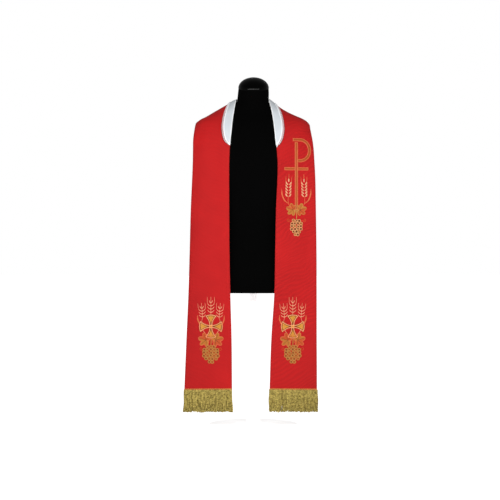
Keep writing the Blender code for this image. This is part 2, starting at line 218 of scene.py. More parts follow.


# How much painted light and shade lightens or darkens the cloth in broad soft patches: heights are shares.
PAINTED_LIGHT_AND_SHADE: dict[Side, tuple[SoftFold, ...]] = {
    Side.RIGHT: (
        SoftFold(850, 175, 480, 85, -0.13, 0),
        SoftFold(850, 10, 480, 50, 0.02, 0),
        SoftFold(300, 128, 55, 36, 0.2, 0),
        SoftFold(310, 10, 80, 45, -0.05, 0),
    ),
    Side.LEFT: (SoftFold(520, 20, 120, 60, -0.04, 0), SoftFold(230, 60, 70, 60, -0.06, 0)),
}


# ---------------------------------------------------------------------------------------------- helpers


def smooth_table(knots: Array, values: Array, places: Array) -> Array:
    """Reads a table anywhere along a smooth curve through its rows.

    Args:
        knots: Where the rows lie, rising.
        values: One row of values for each knot.
        places: Where the table is read.

    Returns:
        One row of values for each place.
    """
    slopes = np.gradient(values, knots, axis=0)
    before = np.clip(np.searchsorted(knots, places, side="right") - 1, 0, len(knots) - 2)
    span = (knots[before + 1] - knots[before])[:, None]
    t = (places - knots[before])[:, None] / span
    return (
        (1 + 2 * t) * (1 - t) ** 2 * values[before]
        + t * (1 - t) ** 2 * span * slopes[before]
        + t**2 * (3 - 2 * t) * values[before + 1]
        + t**2 * (t - 1) * span * slopes[before + 1]
    )


def lengths_along(points: Array) -> Array:
    """Distances along a line of points, from its start."""
    return np.concatenate([[0], np.cumsum(np.linalg.norm(np.diff(points, axis=0), axis=1))])


def points_at(line: Array, places: Array) -> Array:
    """Points of a line at distances from its start."""
    lengths = lengths_along(line)
    return np.stack([np.interp(places, lengths, part) for part in line.T], axis=-1)


def curve_through(points: Points, step: float = 1.5) -> Array:
    """A smooth line through a few points, with a point at about every step."""
    corners = np.array(points, dtype=float)
    knots = lengths_along(corners)
    return smooth_table(knots, corners, np.linspace(0, knots[-1], max(int(knots[-1] / step), 2) + 1))


def evenly(line: Array, step: float) -> Array:
    """The same line with its points an even step apart."""
    length = lengths_along(line)[-1]
    return points_at(line, np.linspace(0, length, max(round(length / step), 2) + 1))


def unit(vectors: Array) -> Array:
    """The vectors with length 1."""
    return vectors / np.maximum(np.linalg.norm(vectors, axis=-1, keepdims=True), 1e-12)


def round_turn(count: int) -> Array:
    """Even angles all the way round."""
    return np.linspace(0, 2 * math.pi, count, endpoint=False)


def quarter_turn(steps: int) -> list[tuple[float, float]]:
    """1 - sin and 1 - cos of even steps through a quarter turn, for rounding an edge or a corner."""
    turns = [math.pi / 2 * step / steps for step in range(steps + 1)]
    return [(1 - math.sin(turn), 1 - math.cos(turn)) for turn in turns]


def from_edges(places: Array) -> Array:
    """How far each place along a row lies from the nearer end of its row."""
    return np.minimum(places, places[:, -1:] - places)


def rounded(inward: Array, half: float, least: float) -> Array:
    """Half the thickness of a sheet with round edges.

    Args:
        inward: Distances in from the edge.
        half: Half the thickness away from the edges.
        least: The square of the share of it that is left at the very edge.

    Returns:
        Half the thickness at each place.
    """
    depth = np.minimum(inward / half, 1)
    return half * np.sqrt(np.clip(1 - (1 - depth) ** 2, least, 1))


def linear_rgba(code: str) -> tuple[float, float, float, float]:
    """An sRGB hex colour, such as #CA292A, as linear light."""
    parts = [int(code[k : k + 2], 16) / 255 for k in (1, 3, 5)]
    linear = [part / 12.92 if part <= 0.04045 else ((part + 0.055) / 1.055) ** 2.4 for part in parts]
    return (linear[0], linear[1], linear[2], 1.0)


def placed(name: str, data: bpy.types.ID) -> Piece:
    """Puts a new object into the scene."""
    made = bpy.data.objects.new(name, data)
    bpy.context.scene.collection.objects.link(made)
    return made


def per_metre(size: float) -> float:
    """The scale of a pattern whose features are a size in millimetres."""
    return 1 / (size * MM)


def loft_faces(count: int, sides: int) -> list[list[int]]:
    """Faces through rings of points, with a cap on each end.

    Args:
        count: How many rings there are.
        sides: Points in a ring.

    Returns:
        The faces, as indices of points.
    """
    ring, k = np.meshgrid(np.arange(count - 1), np.arange(sides), indexing="ij")
    corners = [ring * sides + k, ring * sides + (k + 1) % sides]
    corners += [corner + sides for corner in corners[::-1]]
    last = (count - 1) * sides
    caps = [list(range(sides))[::-1], list(range(last, last + sides))]
    return np.stack(corners, axis=-1).reshape(-1, 4).tolist() + caps


def grid_faces(rows: int, columns: int) -> Array:
    """Faces of an open grid of points."""
    index = np.arange(rows * columns).reshape(rows, columns)
    corners = [index[:-1, :-1], index[1:, :-1], index[1:, 1:], index[:-1, 1:]]
    return np.stack(corners, axis=-1).reshape(-1, 4)


def wall_faces(rows: int, columns: int) -> list[list[int]]:
    """Faces of a closed sheet whose lower points come first, then its upper ones.

    Args:
        rows: Rows of points on each side.
        columns: Points in a row.

    Returns:
        Its faces, as indices of points.
    """
    index = np.arange(rows * columns).reshape(rows, columns)
    lower = grid_faces(rows, columns)
    faces = lower[:, ::-1].tolist() + (lower + index.size).tolist()
    rim = np.concatenate([index[:, 0], index[-1, 1:], index[-2::-1, -1], index[0, -2:0:-1]]).tolist()
    for one, other in zip(rim, rim[1:] + rim[:1]):
        faces.append([one, other, other + index.size, one + index.size])
    return faces


def outward_normals(grid: Array) -> Array:
    """A unit normal at each point of a grid of cloth, on the side away from the form."""
    normals = unit(np.cross(np.gradient(grid, axis=0), np.gradient(grid, axis=1)))
    return normals if normals[-1].mean(axis=0)[1] < 0 else -normals


def tube_rings(centres: Array, upwards: Array, radius: Array, sides: int) -> Array:
    """Rings of points round a line.

    Args:
        centres: The line.
        upwards: A direction across the line at each of its points.
        radius: The tube's radius at each of its points.
        sides: Points round the tube.

    Returns:
        One ring for each point of the line.
    """
    along = unit(np.gradient(centres, axis=0))
    upwards = unit(upwards - (upwards * along).sum(axis=1, keepdims=True) * along)
    across = np.cross(along, upwards)
    turn = round_turn(sides)[:, None]
    ring = np.cos(turn) * across[:, None] + np.sin(turn) * upwards[:, None]
    return centres[:, None] + ring * radius[:, None, None]


@dataclass
class Draft:
    """Points and faces gathered for one object, in millimetres."""

    points: list[Array] = field(default_factory=list)
    faces: list[list[int]] = field(default_factory=list)
    tones: list[Array] = field(default_factory=list)
    strips: list[Array] = field(default_factory=list)
    slots: list[int] = field(default_factory=list)
    count: int = 0

    def add(
        self,
        points: Array,
        faces: list[list[int]],
        tone: Amount = 0.5,
        strip: Strip = None,
        slot: int = 0,
    ) -> None:
        """Adds one closed body.

        Args:
            points: Its points, one a row.
            faces: Its faces, as indices into those points.
            tone: How light the thread is here, from 0 to 1.
            strip: Places across and along the cloth, one for each point.
            slot: The material slot of the faces.
        """
        self.points.append(points)
        self.faces += [[index + self.count for index in face] for face in faces]
        self.tones.append(np.broadcast_to(tone, (len(points),)))
        self.strips.append(np.zeros((len(points), 3)) if strip is None else strip)
        self.slots += [slot] * len(faces)
        self.count += len(points)

    def loft(self, rings: Array, tone: Amount = 0.5, slot: int = 0) -> None:
        """Adds a body through rings of points, capped at both ends."""
        self.add(rings.reshape(-1, 3), loft_faces(*rings.shape[:2]), tone, None, slot)

    def wall(self, lower: Array, upper: Array, strip: Strip = None, tone: Amount = 0.5) -> None:
        """Adds a sheet with a thickness.

        Args:
            lower: The grid of its lower points.
            upper: The grid of its upper points.
            strip: Places across and along the cloth, one for each point of a grid.
            tone: How light it is, for all or for each point of a grid.
        """
        shape = lower.shape[:2]
        strips = None if strip is None else np.tile(strip.reshape(-1, 3), (2, 1))
        points = np.concatenate([lower.reshape(-1, 3), upper.reshape(-1, 3)])
        tones = np.tile(np.broadcast_to(tone, shape).ravel(), 2)
        self.add(points, wall_faces(*shape), tones, strips)

    def make(
        self, name: str, finishes: Sequence["Finish"], stands_for: str | None = None, angle: float = 60
    ) -> Piece:
        """Makes the object.

        Args:
            name: The piece's name.
            finishes: One for each material slot.
            stands_for: The node that it replaces, if any.
            angle: Edges sharper than this many degrees stay sharp.

        Returns:
            The new object, which rides on the one body.
        """
        mesh = bpy.data.meshes.new(name)
        mesh.from_pydata((np.concatenate(self.points) * MM).tolist(), [], self.faces)
        tones = mesh.attributes.new(TONE, "FLOAT", "POINT")
        tones.data.foreach_set("value", np.concatenate(self.tones))
        strips = mesh.attributes.new(STRIP, "FLOAT_VECTOR", "POINT")
        strips.data.foreach_set("vector", (np.concatenate(self.strips) * MM).ravel())
        for finish in finishes:
            mesh.materials.append(finish.material())
        mesh.polygons.foreach_set("material_index", self.slots)
        mesh.shade_smooth()
        mesh.set_sharp_from_angle(angle=math.radians(angle))
        made = placed(name, mesh)
        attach(made, BODY)
        finishes[0].slot
        if stands_for:
            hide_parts(stands_for)
        log.info("%s: %d points, %d faces", name, self.count, len(self.faces))
        return made


def add_node(tree: Tree, kind: str, inputs: dict[Any, Any] | None = None, **settings: Any) -> Node:
    """Adds a node to a material.

    Args:
        tree: The material's node tree.
        kind: The kind of shader node.
        inputs: Values, or sockets to link, by input name or number.
        **settings: The node's own properties.

    Returns:
        The new node.
    """
    made = tree.nodes.new(f"ShaderNode{kind}")
    for name, value in settings.items():
        setattr(made, name, value)
    for key, value in (inputs or {}).items():
        if isinstance(value, Socket):
            tree.links.new(value, made.inputs[key])
        else:
            made.inputs[key].default_value = value
    return made


# --------------------------------------------------------------------------------------------- finishes


@dataclass(frozen=True)
class Finish:
    """A surface finish: a named material with a Principled shader, coloured between two tones."""

    name: str
    slot: str
    roughness: float
    metallic: float = 0.0
    specular: float = 0.5
    sheen: float = 0.0
    sheen_tint: str = "#FFFFFF"
    light: str = "#FFFFFF"
    dark: str = "#FFFFFF"
    relief: float = 0.0
    relief_mm: float = 0.0

    def material(self) -> bpy.types.Material:
        """Makes the material, or returns the one that was made before."""
        if self.name in bpy.data.materials:
            return bpy.data.materials[self.name]
        made = bpy.data.materials.new(self.name)
        made.use_nodes = True
        shader = made.node_tree.nodes["Principled BSDF"]
        shader.inputs["Roughness"].default_value = self.roughness
        shader.inputs["Metallic"].default_value = self.metallic
        shader.inputs["Specular IOR Level"].default_value = self.specular
        shader.inputs["Sheen Weight"].default_value = self.sheen
        shader.inputs["Sheen Tint"].default_value = linear_rgba(self.sheen_tint)
        self.dress(made.node_tree, shader)
        return made

    def dress(self, tree: Tree, shader: Node) -> None:
        """Adds the finish's own pattern to the shader.

        Args:
            tree: The material's node tree.
            shader: Its Principled shader.
        """

    def clothe(
        self, tree: Tree, shader: Node, share: Socket, height: Socket, painted_shading: Socket | None = None
    ) -> None:
        """Colours the surface between the two tones, and gives it its relief.

        Args:
            tree: The material's node tree.
            shader: Its Principled shader.
            share: How far the colour lies from the dark tone towards the light one.
            height: How far the surface stands out, as a share of the relief's depth.
            painted_shading: How much of the colour is seen, where painted light and shade vary it.
        """
        inputs = {0: share, "A": linear_rgba(self.dark), "B": linear_rgba(self.light)}
        seen = add_node(tree, "Mix", inputs, data_type="RGBA").outputs["Result"]
        if painted_shading is not None:
            seen = add_node(tree, "VectorMath", {0: seen, "Scale": painted_shading}, operation="SCALE").outputs[0]
        tree.links.new(seen, shader.inputs["Base Color"])
        inputs = {"Height": height, "Strength": self.relief, "Distance": self.relief_mm * MM}
        bump = add_node(tree, "Bump", inputs)
        tree.links.new(bump.outputs["Normal"], shader.inputs["Normal"])


@dataclass(frozen=True)
class RibbedFaille(Finish):
    """Polyester faille, woven with a rib across the strip: a fine cross line and a low, even lustre.

    A rib is about 1 mm from the next and is drawn a little coarser. Where the layers' ribs run out of step
    they water the face with faint slanting lines, stronger in some places than in others. Each set of
    those is given by the pitch of its lines, the length of their drift and the size of its patches.
    """

    rib_mm: float = 1.5
    rib_share: float = 0.6
    slub_mm: float = 1.111
    relief_mm: float = 0.3
    relief: float = 0.35
    dye_mm: float = 111.1
    streak_mm: float = 4.167
    streak_stretch: tuple[float, float, float] = (1.0, 0.02, 1.0)
    streak_share: float = 0.05
    watered_sets_mm: tuple[tuple[float, float, float], ...] = ((14.5, 125, 200), (9.5, 76.92, 125))
    watered_slant: float = 0.5
    watered_drift_mm: float = 70.0
    watered_patch: tuple[float, float] = (0.4, 0.6)
    watered_patch_least: float = 0.15
    watered_share: float = 0.2
    watered_least: float = 0.35

    def waves(self, tree: Tree, place: Socket, pitch: float) -> Socket:
        """Even waves from -1 to 1 along a place, a pitch in millimetres apart."""
        turn = 2 * math.pi / (pitch * MM)
        angle = add_node(tree, "Math", {0: place, 1: turn}, operation="MULTIPLY")
        return add_node(tree, "Math", {0: angle.outputs[0]}, operation="SINE").outputs[0]

    def watering(self, tree: Tree, strip: Socket) -> Socket:
        """The watered lines: slanting sets that wander, each strong only in patches.

        Args:
            tree: The material's node tree.
            strip: Places across and along the cloth.

        Returns:
            How much lighter the cloth is.
        """
        inputs = {0: strip, 1: (self.watered_slant, 1.0, 0.0)}
        slanted = add_node(tree, "VectorMath", inputs, operation="DOT_PRODUCT")
        low, high = self.watered_patch
        total: Socket | float = 0.0
        for pitch, drift_mm, patch_mm in self.watered_sets_mm:
            drift = add_node(tree, "TexNoise", {"Vector": strip, "Scale": per_metre(drift_mm)})
            inputs = {0: drift.outputs["Fac"], 1: self.watered_drift_mm * MM, 2: slanted.outputs["Value"]}
            place = add_node(tree, "Math", inputs, operation="MULTIPLY_ADD")
            patch = add_node(tree, "TexNoise", {"Vector": strip, "Scale": per_metre(patch_mm)})
            inputs = {"Value": patch.outputs["Fac"], "From Min": low, "From Max": high}
            strength = add_node(tree, "MapRange", {**inputs, "To Min": self.watered_patch_least})
            waves = self.waves(tree, place.outputs[0], pitch)
            inputs = {0: waves, 1: strength.outputs["Result"], 2: total}
            total = add_node(tree, "Math", inputs, operation="MULTIPLY_ADD").outputs[0]
        side = add_node(tree, "SeparateXYZ", {0: strip}).outputs["Z"]
        inputs = {"Value": side, "From Min": -DYE_LOT * MM, "From Max": DYE_LOT * MM}
        share = add_node(tree, "MapRange", {**inputs, "To Min": self.watered_least})
        inputs = {0: total, 1: share.outputs["Result"]}
        return add_node(tree, "Math", inputs, operation="MULTIPLY").outputs[0]

    def dress(self, tree: Tree, shader: Node) -> None:
        """Draws ribs as bump, and watered lines, warp streaks, dye and painted light and shade as colour.

        Args:
            tree: The material's node tree.
            shader: Its Principled shader.
        """
        strip = add_node(tree, "Attribute", attribute_name=STRIP).outputs["Vector"]
        inputs = {"Vector": strip, "Scale": per_metre(self.dye_mm), "Detail": 3.0}
        share = add_node(tree, "TexNoise", inputs).outputs["Fac"]
        inputs = {0: strip, 1: self.streak_stretch}
        warp = add_node(tree, "VectorMath", inputs, operation="MULTIPLY").outputs[0]
        streaks = add_node(tree, "TexNoise", {"Vector": warp, "Scale": per_metre(self.streak_mm)})
        for pattern, weight in (
            (self.watering(tree, strip), self.watered_share),
            (streaks.outputs["Fac"], self.streak_share),
        ):
            inputs = {0: pattern, 1: weight, 2: share}
            share = add_node(tree, "Math", inputs, operation="MULTIPLY_ADD").outputs[0]
        # The painted light and shade, one share for each point of the cloth.
        painted_shading = add_node(tree, "Attribute", attribute_name=TONE).outputs["Fac"]
        inputs = {"Vector": strip, "Scale": per_metre(self.slub_mm), "Detail": 1.0}
        slub = add_node(tree, "TexNoise", inputs).outputs["Fac"]
        along = add_node(tree, "SeparateXYZ", {0: strip}).outputs["Y"]
        inputs = {0: self.waves(tree, along, self.rib_mm), 1: self.rib_share, 2: slub}
        height = add_node(tree, "Math", inputs, operation="MULTIPLY_ADD").outputs[0]
        self.clothe(tree, shader, share, height, painted_shading)


@dataclass(frozen=True)
class WovenSatin(Finish):
    """White polyester satin, woven with long floats: smooth, with a broad soft shine."""

    tone_mm: float = 45.45
    float_mm: float = 1.2
    float_stretch: tuple[float, float, float] = (1.0, 0.12, 1.0)
    relief_mm: float = 0.2
    relief: float = 0.2

    def dress(self, tree: Tree, shader: Node) -> None:
        """Draws fine floats along the band as bump, and a slow change of tone.

        Args:
            tree: The material's node tree.
            shader: Its Principled shader.
        """
        strip = add_node(tree, "Attribute", attribute_name=STRIP).outputs["Vector"]
        slow = add_node(tree, "TexNoise", {"Vector": strip, "Scale": per_metre(self.tone_mm)})
        inputs = {0: strip, 1: self.float_stretch}
        weave = add_node(tree, "VectorMath", inputs, operation="MULTIPLY").outputs[0]
        floats = add_node(tree, "TexNoise", {"Vector": weave, "Scale": per_metre(self.float_mm)})
        self.clothe(tree, shader, slow.outputs["Fac"], floats.outputs["Fac"])


@dataclass(frozen=True)
class SpunThread(Finish):
    """Twisted or laid thread: each strand has its own tone, and fibres break up its shine."""

    speck_mm: float = 0.8
    speck_range: tuple[float, float] = (0.3, 0.7)
    speckle: float = 0.5
    relief_mm: float = 0.2
    relief: float = 0.4

    def dress(self, tree: Tree, shader: Node) -> None:
        """Mixes the two tones by strand and by a fine speckle, and roughens the surface with fibres.

        Args:
            tree: The material's node tree.
            shader: Its Principled shader.
        """
        strand = add_node(tree, "Attribute", attribute_name=TONE)
        place = add_node(tree, "TexCoord").outputs["Object"]
        inputs = {"Vector": place, "Scale": per_metre(self.speck_mm)}
        speck = add_node(tree, "TexNoise", inputs).outputs["Fac"]
        low, high = self.speck_range
        spread = add_node(tree, "MapRange", {"Value": speck, "From Min": low, "From Max": high})
        inputs = {0: self.speckle, "A": strand.outputs["Fac"], "B": spread.outputs["Result"]}
        share = add_node(tree, "Mix", inputs, data_type="FLOAT").outputs["Result"]
        self.clothe(tree, shader, share, speck)


@dataclass(frozen=True)
class MouldedSurface(Finish):
    """A moulded, knitted or sprayed surface of one colour, with a fine grain all over."""

    tone_mm: float = 166.7
    grain_mm: float = 1.0
    relief_mm: float = 0.05
    relief: float = 0.5
    painted_glow: float = 0.0

    def dress(self, tree: Tree, shader: Node) -> None:
        """Adds the grain as bump, a slow change of tone, and the glow that is painted on, if any.

        Args:
            tree: The material's node tree.
            shader: Its Principled shader.
        """
        # Painted light: the surface glows of itself by this much, though it is no lamp.
        shader.inputs["Emission Strength"].default_value = self.painted_glow
        place = add_node(tree, "TexCoord").outputs["Object"]
        inputs = {"Vector": place, "Scale": per_metre(self.tone_mm), "Detail": 3.0}
        slow = add_node(tree, "TexNoise", inputs).outputs["Fac"]
        grain = add_node(tree, "TexNoise", {"Vector": place, "Scale": per_metre(self.grain_mm)})
        self.clothe(tree, shader, slow, grain.outputs["Fac"])


@dataclass(frozen=True)
class LitSheet(Finish):
    """White acrylic sheet lit from beneath: it hides its own edge and throws light up at the cloth.

    The cloth gets less of its light than the eye does, as from a sheet whose film keeps it narrow.
    """

    glow: float = 0.93
    thrown: float = 0.3

    def dress(self, tree: Tree, shader: Node) -> None:
        """Sets the sheet's own light.

        Args:
            tree: The material's node tree.
            shader: Its Principled shader.
        """
        shader.inputs["Base Color"].default_value = linear_rgba(self.light)
        shader.inputs["Emission Color"].default_value = (1, 1, 1, 1)
        seen = add_node(tree, "LightPath").outputs["Is Camera Ray"]
        inputs = {"Value": seen, "To Min": self.thrown, "To Max": self.glow}
        light = add_node(tree, "MapRange", inputs)
        tree.links.new(light.outputs["Result"], shader.inputs["Emission Strength"])


# The red cloth: dyed polyester, ribbed across, so it is bright but hardly shines.
RED_FAILLE = RibbedFaille(
    "red_ribbed_faille",
    "red_faille",
    0.72,
    specular=0.18,
    sheen=0.03,
    sheen_tint="#FF8A80",
    light="#C51819",
    dark="#A91214",
)
# The band: long floats give it a soft shine along its curve.
WHITE_SATIN = WovenSatin(
    "white_woven_satin", "white_satin", 0.45, specular=0.35, sheen=0.05, light="#D9DEE2", dark="#C8CFD5"
)
# The piping: a brighter mercerised cord that catches the light along both edges of the band.
WHITE_PIPING = SpunThread(
    "white_mercerised_piping", "white_satin", 0.5, specular=0.4, dark="#F2F5F8", speckle=0.3
)
# The lace: soft cotton thread with no shine.
COTTON_LACE = SpunThread(
    "white_cotton_lace", "white_lace", 0.85, specular=0.2, light="#F6F8FA", dark="#D4D9DE", speckle=0.3
)
# The picots' painted shadow: matt red cotton, darker than the cloth, so it reads as a shaded line beside the
# lace.
PICOT_SHADOW_THREAD = SpunThread(
    "painted_picot_shadow_thread", "red_faille", 0.9, specular=0.1, light="#4C060C", dark="#300408", speckle=0.3
)
# The fringe: metallised strip spun round a core, which glitters in points, painted into its colour as
# a light and dark speckle. They are drawn coarser than they are, so that they show.
BULLION = SpunThread(
    "gold_spun_bullion",
    "gold_bullion",
    0.5,
    metallic=0.35,
    specular=0.1,
    light="#E8D276",
    dark="#40300A",
    speck_mm=6.0,
    speckle=0.6,
)
# The cord at the head of the fringe: rayon, warmer and brighter than the strands. Its flecks are drawn
# coarser too.
HEADING_CORD = SpunThread(
    "gold_rayon_cord", "gold_bullion", 0.5, specular=0.25, light="#F2964E", dark="#8A421E", speck_mm=4.0
)
# The form: polyester jersey stretched over foam, which drinks the light.
BLACK_JERSEY = MouldedSurface(
    "black_stretched_jersey",
    "form_black",
    0.85,
    specular=0.02,
    light="#040404",
    dark="#020202",
    grain_mm=1.2,
    relief_mm=0.08,
)
# The cap on the neck: moulded acrylic, polished, with one thin highlight where it turns to the light.
BLACK_ACRYLIC = MouldedSurface(
    "black_polished_acrylic",
    "form_gloss",
    0.05,
    specular=0.075,
    light="#000000",
    dark="#010101",
    grain_mm=8.0,
    relief_mm=0.01,
)
# The stand: powder-coated steel, even and slightly soft in its shine. A painted glow of its own keeps
# it paper white in the form's shade, so it hardly shows on a white floor.
WHITE_ENAMEL = MouldedSurface(
    "white_sprayed_enamel",
    "stand_enamel",
    0.35,
    dark="#FBFBFA",
    grain_mm=1.6,
    relief_mm=0.02,
    painted_glow=0.6,
)
# The floor: a sheet with no shine, whose light is its own.
LIT_ACRYLIC = LitSheet("white_lit_acrylic", "", 0.9, specular=0.0, light="#F4F4F4")


class Thread(Enum):
    """The embroidery threads: metallised rayon, laid side by side, each with its own sheen."""

    AMBER = ("#E2A23C", "#C08028")
    PALE_GOLD = ("#FFB47C", "#E48E58")
    STRAW = ("#EEB278", "#C4884C")
    UMBER = ("#803A0E", "#5E2808")
    BRONZE = ("#BE5820", "#964210")
    APRICOT = ("#E4784A", "#C05C30")
    CREAM = ("#EAB28A", "#C8865C")
    PEACH = ("#F0A280", "#D07C56")
    HONEY = ("#CE802E", "#A85E20")
    RUST = ("#D65E26", "#AE441A")
    OLIVE = ("#CCA04E", "#966E2A")

    @property
    def slot(self) -> int:
        """The thread's place among an embroidery's materials."""
        return list(Thread).index(self)

    def finish(self) -> SpunThread:
        """The thread's finish: a laid stitch shines along its length and shows its fibres."""
        light, dark = self.value
        return SpunThread(
            f"{self.name.lower()}_laid_rayon",
            "gold_embroidery",
            0.5,
            metallic=0.05,
            specular=0.25,
            light=light,
            dark=dark,
            speck_mm=1.0,
            speckle=0.35,
        )


# ------------------------------------------------------------------------------------------- dress form


@dataclass
class DressForm:
    """The limbless form and its stand: a jersey torso, a domed neck cap, a pole and a round base."""

    ring_count: int = 130
    ring_points: int = 128
    hip_edge: float = 5
    hip_steps: int = 5
    cap_overhang: float = 0.8
    cap_edge: tuple[tuple[float, float], ...] = ((0.975, 0), (0.99, 0.25), (1, 0.9))
    cap_rim: float = 0.4
    cap_dome: float = 38.6
    cap_turn: float = 88
    cap_steps: int = 24
    pole_radius: float = 12.5
    pole_steps: int = 24
    base_radius: float = 160
    base_chamfer: float = 1
    base_thickness: float = 14
    base_edge: float = 5
    base_crown: float = 1
    edge_steps: int = 8
    hub_radius: float = 24
    hub_height: float = 34
    hub_fillet: float = 9
    fillet_steps: int = 6
    hub_edge: tuple[tuple[float, float], ...] = ((0, 2), (0.7, 0.6), (2, 0))
    turned_points: int = 96
    rings: list[FormRing] = field(init=False)
    surface: BVHTree = field(init=False)

    def __post_init__(self) -> None:
        """Spaces the rings evenly and keeps the torso's surface, for the cloth to rest on."""
        table = np.array(FORM_RINGS, dtype=float)
        knots = lengths_along(table[:, :2])
        places = np.linspace(0, knots[-1], self.ring_count)
        self.rings = [FormRing(*row) for row in smooth_table(knots, table, places)]
        loops = np.array([self.ring(ring) for ring in self.rings])
        self.surface = BVHTree.FromPolygons(loops.reshape(-1, 3).tolist(), loft_faces(*loops.shape[:2]))

    def ring(self, ring: FormRing, grow: float = 0.0) -> Array:
        """The points of one ring.

        Args:
            ring: The ring's sizes.
            grow: How far its points are moved out.

        Returns:
            Its points, in order.
        """
        turn = round_turn(self.ring_points)
        across, depth = np.cos(turn), np.sin(turn)
        reach = np.where(depth > 0, ring.back, ring.front) + grow
        side = np.where(across > 0, ring.left, ring.right) + grow
        x = side * np.sign(across) * np.abs(across) ** (2 / ring.power)
        y = reach * np.sign(depth) * np.abs(depth) ** (2 / ring.power)
        return np.stack([x, y, ring.height + ring.slant * y], axis=1)

    def build(self) -> None:
        """Makes the four pieces, each in the place of its solid."""
        self.torso()
        self.neck_cap()
        self.pole()
        self.base()

    def lofted(
        self, loops: Sequence[Array], name: str, finish: Finish, node: str, angle: float = 50
    ) -> None:
        """Makes one piece of the form.

        Args:
            loops: Its rings of points, upwards.
            name: The piece's name.
            finish: Its finish.
            node: The node whose place it takes.
            angle: Edges sharper than this many degrees stay sharp.
        """
        draft = Draft()
        draft.loft(np.array(loops))
        draft.make(name, [finish], node, angle)

    def torso(self) -> None:
        """The torso, with the jersey turned under softly at the hips."""
        hip = self.rings[0]
        loops = []
        for inward, upward in quarter_turn(self.hip_steps)[1:]:
            loops.append(self.ring(hip, -self.hip_edge * inward) + np.array([0, 0, self.hip_edge * upward]))
        loops += [self.ring(ring) for ring in self.rings if ring.height > hip.height + self.hip_edge]
        self.lofted(loops, "torso_jersey", BLACK_JERSEY, "form_torso")

    def neck_cap(self) -> None:
        """The domed cap on the slanted neck, with its lower edge eased under."""
        top = self.rings[-1]
        slant = math.atan(top.slant)
        upwards = np.array([0, -math.sin(slant), math.cos(slant)])
        neck = self.ring(top)
        middle = neck.mean(axis=0)
        rim = neck - middle + unit(neck - middle) * self.cap_overhang
        profile = list(self.cap_edge)
        for turn in np.linspace(0, math.radians(self.cap_turn), self.cap_steps):
            profile.append((math.cos(turn), self.cap_rim + self.cap_dome * math.sin(turn)))
        loops = [middle + rim * share + upwards * (SEAM_GAP + rise) for share, rise in profile]
        self.lofted(loops, "neck_cap_acrylic", BLACK_ACRYLIC, "form_neck_cap")

    def turned(self, profile: Sequence[tuple[float, float]], name: str, node: str) -> None:
        """Makes a turned piece of the stand.

        Args:
            profile: (radius, height) points up its outside.
            name: The piece's name.
            node: The node whose place it takes.
        """
        turn = round_turn(self.turned_points)
        circle = np.stack([np.cos(turn), np.sin(turn), np.zeros_like(turn)], axis=1)
        loops = [circle * radius + np.array([0, 0, height]) for radius, height in profile]
        self.lofted(loops, name, WHITE_ENAMEL, node, 35)

    def pole(self) -> None:
        """The pole, from the hub to the underside of the torso."""
        heights = np.linspace(self.hub_height + SEAM_GAP, self.rings[0].height - SEAM_GAP, self.pole_steps)
        self.turned([(self.pole_radius, height) for height in heights], "pole_steel", "stand_pole")

    def base(self) -> None:
        """The round base, rising to the hub."""
        profile = [(self.base_radius - self.base_chamfer, 0.0), (self.base_radius, self.base_chamfer)]
        for below, inward in quarter_turn(self.edge_steps):
            inward, below = inward * self.base_edge, below * self.base_edge
            profile.append((self.base_radius - inward, self.base_thickness - below))
        foot = self.base_thickness + self.base_crown
        for outward, upward in quarter_turn(self.fillet_steps):
            profile.append((self.hub_radius + self.hub_fillet * outward, foot + self.hub_fillet * upward))
        profile += [(self.hub_radius - inward, self.hub_height - below) for inward, below in self.hub_edge]
        self.turned(profile, "base_steel", "stand_base")


# ------------------------------------------------------------------------------------------------ stole


